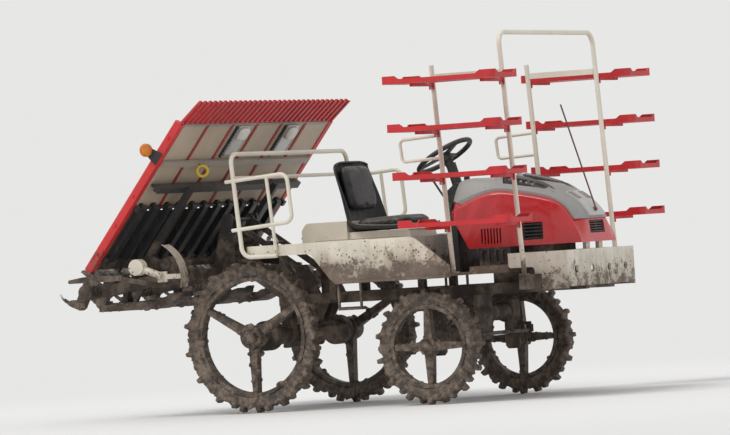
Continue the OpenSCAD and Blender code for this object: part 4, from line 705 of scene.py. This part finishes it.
def inflate(piece, cap):
    """Remeshes a pad evenly, blows it up as cloth, and lets no point move further than cap."""
    modify(piece, "REMESH", mode="VOXEL", voxel_size=0.006)
    apply_modifiers(piece)
    start = read(piece.data.vertices, "co", 3)
    cloth = modify(piece, "CLOTH").settings
    cloth.use_pressure = True
    cloth.uniform_pressure_force = 4.0
    cloth.effector_weights.gravity = 0.0
    for frame_number in range(1, 21):
        bpy.context.scene.frame_set(frame_number)
    apply_modifiers(piece)
    moved = read(piece.data.vertices, "co", 3) - start
    far = np.linalg.norm(moved, axis=1, keepdims=True)
    set_vertices(piece, start + moved * np.minimum(1, cap / np.maximum(far, 1e-9)))
    bpy.context.scene.frame_set(1)


def seat_pad(name, half, place, lean, cap, channels):
    """One pad: shaped, inflated, given its sewn channels, leaned back and put in place.

    A channel is pressed in by depth times exp(-(y - its place)^2 / reach^2) on the front.
    """
    depth, reach = 0.008, 0.007
    points, faces = pillow_shape(half, 5)
    waist = 1 - 0.05 * (1 - (points[:, :1] / half[0]) ** 2) * (np.abs(points[:, 1:2]) / half[1])
    points[:, 1:2] *= waist
    piece = make_piece(name, (points, faces), "seat_vinyl")
    inflate(piece, cap)
    points = read(piece.data.vertices, "co", 3)
    top = soft_step(points[:, 2], 0.0, half[2] * 0.8)
    for y in channels:
        points[:, 2] -= depth * top * np.exp(-((points[:, 1] - y) / reach) ** 2)
    rim = np.abs(points[:, 2] + half[2] * 0.25)
    edge = soft_step(np.abs(points[:, :2]) / half[:2], 0.9, 1.0).sum(axis=1)
    points[:, :2] *= (1 + 0.012 * np.exp(-(rim / 0.005) ** 2) * np.clip(edge, 0, 1))[:, None]
    tilt = math.radians(lean)
    along, up = points[:, 0].copy(), points[:, 2].copy()
    points[:, 0] = place[0] + along * math.cos(tilt) - up * math.sin(tilt)
    points[:, 2] = place[2] + along * math.sin(tilt) + up * math.cos(tilt)
    points[:, 1] += place[1]
    set_vertices(piece, points)
    modify(piece, "SUBSURF", levels=1, render_levels=1)
    apply_modifiers(piece)
    settle(piece, "chassis")


skins["seat_vinyl"] = vinyl("seat_vinyl")
seat_pad("seat_cushion", (0.176, 0.196, 0.022), (station(0.622), 0.0, 1.030), 2.0, 0.012,
         (-0.075, 0.075))
seat_pad("seat_back_pad", (0.136, 0.180, 0.020), (station(0.412), 0.0, 1.238), 101.0, 0.011,
         (-0.07, 0.07))

# %% [markdown]
# The pan under the pads is one moulded sheet: a path from the front lip along the bottom
# and up the back, carried across the seat, with both edges curled up round the pads.

# %% Seat pan
# The pan's middle line, as stations and heights from the front lip to the top of the back.
PAN_LINE = ((0.822, 1.016), (0.808, 0.993), (0.760, 0.992), (0.600, 0.992), (0.470, 0.994),
            (0.412, 1.022), (0.396, 1.080), (0.379, 1.200), (0.361, 1.300), (0.352, 1.352),
            (0.358, 1.380), (0.372, 1.388))


def smooth_path(corners, steps):
    """A Catmull-Rom curve through the corners: each span is a cubic of its four nearest."""
    p = np.asarray(corners, dtype=float)
    p = np.concatenate([p[:1], p, p[-1:]])
    t = (np.arange(steps) / steps)[None, :, None]
    a, b, c, d = (p[k:len(p) - 3 + k][:, None] for k in range(4))
    bend = 2 * a - 5 * b + 4 * c - d + t * (3 * b - 3 * c + d - a)
    spans = b + t * ((c - a) / 2 + t * bend / 2)
    return np.concatenate([spans.reshape(-1, 3), p[-1:]])


def make_seat_pan():
    """A sheet over the parameters path and across, curled by the fifth power of across.

    The point is path(s) plus its inner normal times curl, and the curl grows to the sides
    and is largest at the hips.
    """
    least_curl, hip_curl, hip_at, hip_reach = 0.020, 0.052, 0.50, 0.16
    pan_half, taper = 0.226, 0.10
    line = smooth_path([(u, 0, z) for u, z in PAN_LINE], 9)
    along = unit(np.gradient(line, axis=0))
    inner = np.stack([along[:, 2], np.zeros(len(line)), -along[:, 0]], axis=1)
    share = np.linspace(0, 1, len(line))
    hips = least_curl + hip_curl * np.exp(-((share - hip_at) / hip_reach) ** 2)
    half_width = pan_half * (1 - taper * soft_step(share, 0.60, 1.0))
    across = np.linspace(-1, 1, 49)[None, :, None]
    points = line[:, None] + inner[:, None] * (hips[:, None, None] * np.abs(across) ** 5)
    points = points + np.array([0, 1, 0]) * across * half_width[:, None, None]
    points[..., 0] += rear_axle_x
    faces = grid_faces(len(line), 49, closed_columns=False)
    piece = make_piece("seat_pan", (points, faces), "black_moulding")
    modify(piece, "SOLIDIFY", thickness=0.009, offset=0.0)
    modify(piece, "BEVEL", width=0.002, segments=2)
    apply_modifiers(piece)
    settle(piece, "chassis", "seat")


make_seat_pan()
print("seat pads and pan")

# %% [markdown]
# ## Bonnet
# The bonnet's solid is cut from a loft in flat strips. A moulded cover has no such strips,
# so a copy of it is merged and its edges are left sharp only where the surface really
# turns. That keeps every louvre and vent where it is. The tray's rails and fittings are
# copied the same way, because one solid there has pieces of two or three finishes.

# %% Smooth copies of moulded covers
SHARP_TURN = math.radians(24)
hood_x = 0.965
tray_side_y = 0.890


def smooth_copy(node, name, body, finishes, pick=None):
    """A merged copy of a fixed piece, shaded smooth across edges that turn little.

    Where it has more than one finish, pick takes the middles of its faces and says which
    finish each of them has.
    """
    mesh = nodes[node].data.copy()
    work = bmesh.new()
    work.from_mesh(mesh)
    bmesh.ops.remove_doubles(work, verts=work.verts, dist=2e-5)
    work.to_mesh(mesh)
    work.free()
    mesh.polygons.foreach_set("use_smooth", np.full(len(mesh.polygons), True))
    mesh.set_sharp_from_angle(angle=SHARP_TURN)
    mesh.materials.clear()
    for finish in finishes.split():
        mesh.materials.append(skins[finish])
    if pick is not None:
        middles = read(mesh.polygons, "center", 3)
        mesh.polygons.foreach_set("material_index", pick(middles).astype(np.int32))
    piece = bpy.data.objects.new(name, mesh)
    bpy.context.scene.collection.objects.link(piece)
    settle(piece, body, node)


def in_air_hoods(middles):
    """1 for the faces of the two air hoods, by how far out and how far along they lie."""
    out = np.abs(middles[:, 1])
    along = middles[:, 0] - hood_x
    return (out > 0.1105) & (out < 0.1735) & (along > 0.068) & (along < 0.325)


def in_dividers(middles):
    """1 for the dividers between the lanes, 0 for the two rails at the tray's sides."""
    return np.abs(middles[:, 1]) < 0.880


def in_beam(middles):
    """Fittings by their place: 1 the cross beam, 2 the belts' and lamps' dark brackets."""
    up = middles[:, 0] * SLOPE[0] + middles[:, 2] * SLOPE[2] - SLOPE_FOOT
    between = np.abs(middles[:, 1]) < tray_side_y
    beam = (up > 0.72) & (up < 0.765) & between
    return np.where(beam, 1, np.where((up < 0.60) | ~between, 2, 0))


smooth_copy("bonnet_shell", "bonnet_cover", "bonnet", "red_cover")
smooth_copy("bonnet_top", "crown_cover", "bonnet", "grey_cover black_moulding",
            in_air_hoods)
smooth_copy("nose_panel", "nose_cover", "bonnet", "nose_grey")
smooth_copy("tray_rails", "tray_side_rails", "seedling_tray",
            "red_rail red_divider", in_dividers)
smooth_copy("tray_fittings", "tray_underside_fittings", "seedling_tray",
            "pale_cap tan_beam black_moulding", in_beam)
print("smooth covers and split finishes")

# %% [markdown]
# Two black air hoods stand on the crown like brows. Each is a shell over the cover: open
# behind, highest at its mouth and running out to nothing towards the nose.

# %% Air hoods
CROWN_LINE = np.array([(0.965, 1.236), (1.020, 1.2295), (1.100, 1.218), (1.180, 1.203),
                       (1.260, 1.186), (1.300, 1.1715), (1.340, 1.149), (1.380, 1.125),
                       (1.420, 1.100)])


def air_hood(side, side_name):
    """A shell over the parameters along (0 mouth, 1 tip) and across (-1 inner, 1 outer foot).

    The crown's height is a line along the nose less edge_drop times the square of how far
    out the point is. The shell stands stand * (1 - along^2)(1 - across^6) above its feet,
    which are sunk into the cover. The width narrows to the tip.
    """
    mouth_x, length, stand, sunk = hood_x + 0.070, 0.325, 0.034, 0.002
    middle_y, drift, mouth_half, narrowing = 0.1430, 0.004, 0.0345, 0.010
    edge_y, edge_w, edge_drop = 0.112, 0.068, 0.036
    along = np.linspace(0, 1, 31)[:, None]
    across = np.linspace(-1, 1, 23)[None, :]
    x = mouth_x + length * along
    half = mouth_half - narrowing * along ** 3
    y = middle_y + drift * along + half * signed_power(across, 0.8)
    crown = np.interp(x, CROWN_LINE[:, 0], CROWN_LINE[:, 1])
    cover = crown - edge_drop * np.clip((y - edge_y) / edge_w, 0, 1) ** 2
    z = cover - sunk + (stand * (1 - along ** 2)) * (1 - across ** 6)
    faces = grid_faces(31, 23, closed_columns=False)
    piece = make_piece("air_hood_" + side_name,
                       (grid_points(x, side * y, z), faces if side > 0 else faces[:, ::-1]),
                       "hood_skin")
    modify(piece, "SOLIDIFY", thickness=0.003, offset=1.0)
    apply_modifiers(piece)
    settle(piece, "bonnet")


for side, side_name in SIDES:
    air_hood(side, side_name)
print("air hoods")

# %% [markdown]
# ## Clods
# Clay doesn't only stain: it lies in lumps on every ledge near the ground. A lump is a
# flattened half ball with a ragged outline. They are strewn over the faces of the pieces
# that pick up mud, more on big faces than on small ones, and always from the same seed.

# %% Lumps strewn over a piece
LATITUDES = np.linspace(-0.35, np.pi / 2 - 0.02, 6)
LONGITUDES = full_turn(10)
LID = np.array([(0, 1, 2, 3), (0, 3, 4, 9), (4, 5, 8, 9), (5, 6, 7, 8)])


def clods(node, body, count, smallest, largest, seed, wanted, thick=0.45, name=None):
    """Strews count lumps over the faces for which wanted(middles, normals) is true.

    A place in a triangle is a mix of its corners with random shares. The lump is a grid of
    latitude and longitude: radius times (1 + noise), its height is thick times its radius,
    and it stands along the face's normal, sunk a little into it. LID closes its ends.
    """
    rng = np.random.default_rng(seed)
    mesh = nodes[node].data
    corners = read(mesh.vertices, "co", 3)[read(mesh.loops, "vertex_index", 1, np.int32).ravel()]
    normals = read(mesh.polygons, "normal", 3)
    wants = wanted(read(mesh.polygons, "center", 3), normals)
    weight = read(mesh.polygons, "area", 1).ravel() * wants
    pick = rng.choice(len(weight), size=count, p=weight / weight.sum())
    share = rng.dirichlet((1, 1, 1), size=count)
    places = (corners.reshape(-1, 3, 3)[pick] * share[..., None]).sum(axis=1)
    up = normals[pick]
    first, second = square_to(up)
    size = smallest * (largest / smallest) ** rng.random(count) / 2
    lat = LATITUDES[:, None]
    ball = grid_points(np.cos(lat) * np.cos(LONGITUDES), np.cos(lat) * np.sin(LONGITUDES),
                       np.sin(lat)).reshape(-1, 3)
    ragged = 1 + 0.30 * wandering(ball[None] + rng.uniform(-9, 9, (count, 1, 3)), 2.2, seed)
    local = ball[None] * ragged[..., None] * size[:, None, None]
    local[..., 0] *= rng.uniform(0.7, 1.5, (count, 1))
    local[..., 2] *= thick
    points = (places[:, None] + first[:, None] * local[..., 0:1] + second[:, None] * local[..., 1:2]
              + up[:, None] * local[..., 2:3])
    rings = grid_faces(len(LATITUDES), len(LONGITUDES))
    one = np.concatenate([rings, LID + len(ball) - len(LONGITUDES), LID[:, ::-1]])
    faces = (one[None] + (np.arange(count) * len(ball))[:, None, None]).reshape(-1, 4)
    add_part("clods_" + (name or node), (points, faces), "caked_rubber", body)


def everywhere(middles, normals):
    """Every face of the piece."""
    return 1.0


def upwards(middles, normals):
    """Faces that look up, and a few that look sideways."""
    return np.clip(normals[:, 2], 0, 1) + 0.08


def outer_side(middles, normals):
    """Faces that look away from the machine's middle line."""
    return np.clip(normals[:, 1] * np.sign(middles[:, 1]), 0, 1) + 0.02


def between_wheels(middles, normals):
    """Faces that look up and lie well inside the wheels, clear of their hubs."""
    return upwards(middles, normals) * (np.abs(middles[:, 1]) < 0.44)


def low_faces(middles, normals):
    """Faces that look up and lie below the seedling tray's foot."""
    return upwards(middles, normals) * (middles[:, 2] < 0.845)


for number, side_name in enumerate(("right", "left")):
    clods("rear_rim_" + side_name, "rear_wheel_" + side_name, 170, 0.010, 0.040, 60 + number,
          everywhere)
    clods("front_rim_" + side_name, "front_wheel_" + side_name, 130, 0.010, 0.034, 70 + number,
          everywhere)
    clods("float_" + side_name, "float_" + side_name, 90, 0.010, 0.045, 80 + number, upwards)
clods("float_centre", "float_centre", 110, 0.010, 0.050, 90, upwards)
clods("rear_axle_case", "chassis", 150, 0.010, 0.036, 91, between_wheels, 0.35, "rear_axle")
clods("front_axle_case", "chassis", 90, 0.008, 0.030, 92, upwards, 0.35, "front_axle")
clods("transmission_case", "chassis", 90, 0.008, 0.030, 93, outer_side, 0.3, "gear_case")
clods("planter_frame", "planter", 130, 0.008, 0.026, 94, low_faces, 0.3, "toolbar")
print("clods strewn")

# %% [markdown]
# ## Small parts
# Hub caps, bolt heads, knobs. Each is a profile turned about an axis, or a hexagon's
# corners in rings, made for all of its places at once.


# %% Turned profiles and bolt heads
def turned(profile, centre, axis, sides=32):
    """Turns a profile of (distance from the axis, way along it) about an axis through centre."""
    profile, axis = np.asarray(profile), unit(np.asarray(axis, dtype=float))
    points = (np.asarray(centre) + profile[:, None, :1] * spokes(axis, sides)
              + profile[:, None, 1:] * axis)
    return points, grid_faces(len(profile), sides)


def bolt_heads(places, normals, across_flats=0.012):
    """Hexagon heads on washers at all places at once: rings of six corners each.

    The rings' radii and heights are those of a washer, a head and its chamfer. A hexagon's
    corners lie 0.577 of its width across the flats from its middle.
    """
    normals = unit(np.broadcast_to(np.asarray(normals, dtype=float), places.shape))
    r = across_flats * 0.577
    rings = np.array([[TINY, -0.002], [r * 1.35, -0.002], [r * 1.35, 0.0018], [r, 0.0018],
                      [r, 0.0068], [r * 0.82, 0.0085], [TINY, 0.0085]])
    points = (places[:, None, None] + spokes(normals, 6)[:, None] * rings[None, :, :1, None]
              + normals[:, None, None] * rings[None, :, 1:, None])
    starts = np.arange(len(places)) * len(rings) * 6
    faces = grid_faces(len(rings), 6)[None] + starts[:, None, None]
    return points.reshape(-1, 3), faces.reshape(-1, 4)


# A hub cap's profile: shares of its radius, and metres along its axis.
CAP_PROFILE = np.array([(0, 0.030), (0.45, 0.029), (0.8, 0.023), (0.96, 0.012), (1, 0.002),
                        (1, -0.004), (0, -0.004)])
for side, side_name in SIDES:
    for axle, hub_y, cap_r, bolt_r, count, x, z in (
            ("rear", 0.6455, 0.040, 0.052, 6, rear_axle_x, rear_radius),
            ("front", 0.6385, 0.032, 0.041, 5, station(wheelbase), front_radius)):
        body = axle + "_wheel_" + side_name
        profile = np.maximum(CAP_PROFILE * (cap_r, 1), (TINY, -1))
        cap = turned(profile, (x, side * hub_y, z), (0, side, 0))
        add_part("hub_cap_%s_%s" % (axle, side_name), cap, "caked_steel", body)
        turn = full_turn(count) + 0.3
        at = grid_points(x + bolt_r * np.cos(turn), side * hub_y, z + bolt_r * np.sin(turn))
        add_part("hub_bolts_%s_%s" % (axle, side_name), bolt_heads(at, (0, side, 0), 0.016),
                 "caked_steel", body, smooth=False)

KNOB_PROFILE = ((TINY, 0.021), (0.008, 0.0195), (0.015, 0.0145), (0.0195, 0.006),
                (0.0195, -0.004), (0.015, -0.013), (0.009, -0.019), (0.0075, -0.030),
                (TINY, -0.030))
knob = turned(KNOB_PROFILE, (station(0.960), -0.190, 1.280), (-0.48, -0.1, 0.87))
add_part("white_lever_knob", knob, "white_knob", "chassis")
print("hub caps, bolts and knobs")

# %% [markdown]
# ## Details under the seedling tray
# The side of the tray that is seen here is its underside. Two latches with pale caps hold
# the upper sheet, each beside a dark toothed strip; a yellow ring pulls the beam's stop; and
# a rubber apron closes each feed belt's upper end. A plate with a crown is a disc of spokes,
# stretched to a rounded rectangle, which needs no corners to be cut or bevelled.


# %% Crowned plates
def on_tray(s, y, t):
    """Places on the tray: s up its slope, y across it, t square to it on the seedlings' side."""
    return grid_points(tray_foot[0] + s * SLOPE[0] - t * SLOPE[2], y,
                       tray_foot[1] + s * SLOPE[2] + t * SLOPE[0])


def rounded_plate(middle, along, across, length, width, crown, depth, corner=6.0):
    """A crowned plate round its middle, facing the way of along crossed with across.

    A spoke's share r runs to 1 at the rim. The outline is a superellipse: half sizes times
    the signed power 2/corner of cosine and sine. The face stands crown * (1 - r^6) above the
    rim, and the rim's wall goes back by depth.
    """
    share = np.array([1e-4, 0.30, 0.55, 0.75, 0.88, 0.96, 1.0, 1.0, 1e-4])[:, None, None]
    back = np.array([0, 0, 0, 0, 0, 0, 0, 1, 1])[:, None, None]
    turn = full_turn(44)[None, :, None]
    points = (middle + along * (length / 2 * share * signed_power(np.cos(turn), 2 / corner))
              + across * (width / 2 * share * signed_power(np.sin(turn), 2 / corner))
              + np.cross(along, across) * (crown * (1 - share ** 6) - back * depth))
    return points.reshape(-1, 3), grid_faces(len(share), turn.size)


def toothed_strip(start, along, across, length, width, low, high, teeth):
    """A strip carried along a line: four corners a ring, and its height is a saw of the way.

    Each tooth steps from the height low up to high and falls evenly back to low. Both ends
    are drawn to a point, which closes them.
    """
    way = np.repeat(np.linspace(0, 1, teeth + 1), 2)
    height = np.tile((low, high), teeth + 1)
    height[-1] = low
    way, height = np.pad(way, 1, "edge"), np.pad(height, 1, "edge")
    ends = np.pad(np.ones(len(way) - 2), 1)
    side = np.array([-0.5, 0.5, 0.5, -0.5])
    top = np.array([0.0, 0.0, 1.0, 1.0])
    points = (start + along * (length * way)[:, None, None]
              + across * (width * side * ends[:, None])[..., None]
              + np.cross(along, across) * (height[:, None] * top * ends[:, None])[..., None])
    return points.reshape(-1, 3), grid_faces(len(way), 4)


def ring(middle, axis, large, small):
    """A torus: a circle of radius small carried round one of radius large."""
    axis = unit(np.array(axis))
    skin = full_turn(12)[:, None]
    points = (middle + spokes(axis, 36)[:, None] * (large + small * np.cos(skin))
              + axis * (small * np.sin(skin)))
    return points, grid_faces(36, 12, closed_rows=True)


def tube(path, radius, sides=10):
    """A round skin about a path of points, closed at both ends by drawing it to a point.

    Each ring lies in the plane of two directions across the path: one is the path's
    direction crossed with straight up, the other is its direction crossed with the first.
    """
    along = unit(np.gradient(path, axis=0))
    first = unit(np.cross(along, (0.0, 0.0, 1.0)))
    second = np.cross(along, first)
    path, first, second = (np.pad(rows, ((1, 1), (0, 0)), "edge") for rows in (path, first, second))
    radii = np.pad(np.full(len(path) - 2, radius), 1, constant_values=TINY)
    turn = full_turn(sides)[None, :, None]
    points = path[:, None] + radii[:, None, None] * (first[:, None] * np.cos(turn)
                                                     + second[:, None] * np.sin(turn))
    return points, grid_faces(len(path), sides)


# %% Latches, ring, aprons and joint
UPWARD = np.array(SLOPE)
UNDER = np.array([0.0, -1.0, 0.0])
ABOVE = np.array([0.0, 1.0, 0.0])
SEEDLINGS_WAY = np.array([-SLOPE[2], 0.0, SLOPE[0]])
latch_ys = (-0.150, 0.450)
lane_middles = (np.arange(6) - 2.5) * 0.300
belt_rows = np.concatenate([lane_middles - 0.070, lane_middles + 0.070])
stem = on_tray(np.array([0.743, 0.740, 0.735, 0.733]), -0.470,
               np.array([-0.022, -0.030, -0.036, -0.040]))
latches = [rounded_plate(on_tray(0.890, y, -0.0125), UPWARD, UNDER, 0.204, 0.140,
                         0.004, 0.0120, 9.0) for y in latch_ys]
caps = [rounded_plate(on_tray(0.942, y, -0.026), UPWARD, UNDER, 0.086, 0.104,
                      0.011, 0.0120, 3.2) for y in latch_ys]
strips = [toothed_strip(on_tray(0.775, y - 0.086, -0.0006), UPWARD, UNDER, 0.215, 0.016,
                        0.008, 0.016, 11) for y in latch_ys]
aprons = [rounded_plate(on_tray(0.462, y, 0.0088), UPWARD, ABOVE, 0.052, 0.076, 0.0012, 0.0006)
          for y in belt_rows]
joint = [rounded_plate(on_tray(0.9975, 0.0, -0.0030), UPWARD, UNDER, 0.016, 1.774,
                       0.0004, 0.0024, 40.0),
         rounded_plate(on_tray(1.0054, 0.0, 0.0055), SEEDLINGS_WAY, UNDER, 0.018, 1.768,
                       0.0003, 0.0048, 40.0)]
for name, shape, skin, slot_name, smooth in (
        ("latch_bodies", joined(latches), "zinc_steel", "grey_plastic", True),
        ("latch_caps", joined(caps), "pale_cap", "grey_plastic", True),
        ("latch_teeth", joined(strips), "black_moulding", "black_plastic", False),
        ("pull_ring", ring(on_tray(0.722, -0.470, -0.062), (0.46, -0.88, 0.06), 0.030, 0.0085),
         "yellow_knob", "grey_plastic", True),
        ("pull_ring_stem", tube(stem, 0.006), "black_moulding", "black_plastic", True),
        ("belt_aprons", joined(aprons), "black_moulding", "black_plastic", True),
        ("tray_joint_strip", joined(joint), "tan_beam", "grey_plastic", True)):
    add_part(name, shape, skin, "seedling_tray", smooth=smooth)
print("latches, ring and", len(belt_rows), "belt aprons")

# %% [markdown]
# ## Guards, mats and fasteners
# A wide curved strip of beige plastic keeps the hoses off each end of the planting section.
# The foot mats are rubber with ribs. Bolts sit where one real piece is screwed to another.


# %% Hose guards, foot mats and bolts
def curved_guard(side):
    """A strip of a cylinder about an axis across the machine, curled outwards at both edges.

    The radius is that of the solid band under it, plus a curl by the eighth power of across.
    """
    first_angle, last_angle = -15.4, 60.5
    band_radius, top_lift, under_lift, curl = 0.214, 0.0035, 0.0006, 0.005
    axis_x, axis_z = station(-0.500), 0.790
    middle_y, half_width = 0.8630, 0.0425
    angle = np.radians(np.linspace(first_angle, last_angle, 33))[:, None]
    across = np.linspace(-1, 1, 13)[None, :]
    wall = np.concatenate([across, across[:, ::-1]], axis=1)
    lift = np.repeat([[top_lift, under_lift]], across.size, axis=1)
    radius = band_radius + lift + curl * np.abs(wall) ** 8
    points = grid_points(axis_x + radius * np.cos(angle), side * (middle_y + half_width * wall),
                         axis_z + radius * np.sin(angle))
    middle = points.mean(axis=1, keepdims=True) + 0 * points
    points = np.concatenate([middle[:1], points, middle[-1:]])
    faces = grid_faces(*points.shape[:2])
    return points, faces[:, ::-1] if side > 0 else faces


def ribbed_mat(x, y, z, length, width, pitch=0.022):
    """A rubber mat: rings across it whose top is a sheet plus ribs, square with soft sides."""
    sheet, rib = 0.002, 0.002
    rows = int(length / pitch) * 6
    way = np.linspace(-0.5, 0.5, rows)
    ribs = soft_step(np.sin(2 * np.pi * way * length / pitch), -0.25, 0.25)
    top = sheet + rib * ribs * soft_step(0.5 - np.abs(way), 0.02, 0.04)
    across = np.array([-0.5, -0.47, 0.47, 0.5, 0.5, -0.5])
    up = np.array([0.55, 1.0, 1.0, 0.55, 0.0, 0.0])
    points = grid_points(x + length * way[:, None], y + width * across, z + top[:, None] * up)
    points = np.concatenate([points[:1] * [1, 1, 0] + [0, 0, z], points,
                             points[-1:] * [1, 1, 0] + [0, 0, z]])
    return points.reshape(-1, 3), grid_faces(rows + 2, 6)[:, ::-1]


for side, side_name in SIDES:
    add_part("hose_guard_" + side_name, curved_guard(side), "beige_guard", "planter")
mats = [ribbed_mat(station(u), side * y, z, length, width)
        for u, y, z, length, width in ((0.620, 0.450, 0.9431, 0.356, 0.376),
                                       (1.060, 0.410, 0.7251, 0.216, 0.276)) for side, _ in SIDES]
add_part("foot_mats", joined(mats), "mat_rubber", "chassis", smooth=False)

post_lean = math.tan(math.radians(3))
post_u, post_foot_z, post_gap, post_y = 1.715, 0.722, 0.430, 0.6418
rack_levels = 0.985 + 0.265 * np.arange(4)
below_rack = 0.026
places = np.array([(station(post_u - behind - (z - post_foot_z) * post_lean), side * post_y,
                    z - below_rack)
                   for z in rack_levels for behind in (post_gap, 0.0) for side, _ in SIDES])
add_part("frame_bolts", bolt_heads(places, places * [0, 1, 0]), "zinc_steel", "chassis",
         smooth=False)
for side, side_name in SIDES:
    at = on_tray(np.array([0.10, 0.30, 0.50, 0.90]), side * 0.9363, 0.019)
    add_part("rail_bolts_" + side_name, bolt_heads(at, (0, side, 0)), "red_rail", "seedling_tray",
             smooth=False)
print("guards, mats and", len(places) + 2 * len(at), "bolts")

# %% [markdown]
# ## Studio
# The floor is a pale sheet that takes the shadow. Far from the machine it turns into the
# same pale colour as the background, so no horizon cuts through the picture. The light is
# an even sky with one broad, soft lamp, at a level where a colour shows about as written.

# %% Floor and light
BACKDROP = (0.80, 0.80, 0.79)
SKY_STRENGTH = 0.70
SUN_STRENGTH = 1.45


def make_floor():
    """A square sheet whose material fades into the backdrop colour with distance."""
    half = 60.0
    mesh = bpy.data.meshes.new("floor")
    mesh.from_pydata([(-half, -half, 0), (half, -half, 0), (half, half, 0), (-half, half, 0)], [],
                     [(0, 1, 2, 3)])
    floor = bpy.data.objects.new("floor", mesh)
    bpy.context.scene.collection.objects.link(floor)
    recipe = Recipe("floor")
    away = recipe.node("VectorMath", {"operation": "LENGTH"}, {0: recipe.place}, out="Value")
    recipe.set(Base_Color=BACKDROP, Roughness=0.9)
    glow = recipe.node("Emission", {}, {"Color": BACKDROP, "Strength": 1.0})
    near = Value(recipe, recipe.shader.outputs[0])
    surface = recipe.node("MixShader", {}, {0: recipe.band(away, 3.0, 7.5), 1: near, 2: glow})
    output = recipe.tree.nodes["Material Output"]
    recipe.plug(output.inputs["Surface"], surface)
    mesh.materials.append(recipe.material)


def make_light():
    """An even sky, seen as the backdrop colour, and one broad lamp from the upper left."""
    world = bpy.data.worlds.new("sky")
    world.use_nodes = True
    tree = world.node_tree
    sky = tree.nodes["Background"]
    sky.inputs["Color"].default_value = (0.96, 0.98, 1.0, 1)
    sky.inputs["Strength"].default_value = SKY_STRENGTH
    seen = tree.nodes.new("ShaderNodeBackground")
    seen.inputs["Color"].default_value = (*BACKDROP, 1)
    path = tree.nodes.new("ShaderNodeLightPath")
    pick = tree.nodes.new("ShaderNodeMixShader")
    seen_by = path.outputs["Is Camera Ray"]
    for ray in ("Is Glossy Ray", "Is Transmission Ray"):
        either = tree.nodes.new("ShaderNodeMath")
        either.operation = "MAXIMUM"
        tree.links.new(seen_by, either.inputs[0])
        tree.links.new(path.outputs[ray], either.inputs[1])
        seen_by = either.outputs[0]
    for source, target in ((seen_by, pick.inputs[0]), (sky.outputs[0], pick.inputs[1]),
                           (seen.outputs[0], pick.inputs[2]),
                           (pick.outputs[0], tree.nodes["World Output"].inputs["Surface"])):
        tree.links.new(source, target)
    bpy.context.scene.world = world
    lamp = bpy.data.lights.new("soft_lamp", "SUN")
    lamp.energy = SUN_STRENGTH
    lamp.angle = math.radians(28)
    lamp.color = (1.0, 0.97, 0.93)
    holder = bpy.data.objects.new("soft_lamp", lamp)
    holder.rotation_euler = Vector((-0.35, -0.55, 0.95)).to_track_quat("Z", "Y").to_euler()
    bpy.context.scene.collection.objects.link(holder)


make_floor()
make_light()
bpy.context.scene.view_settings.view_transform = "Standard"
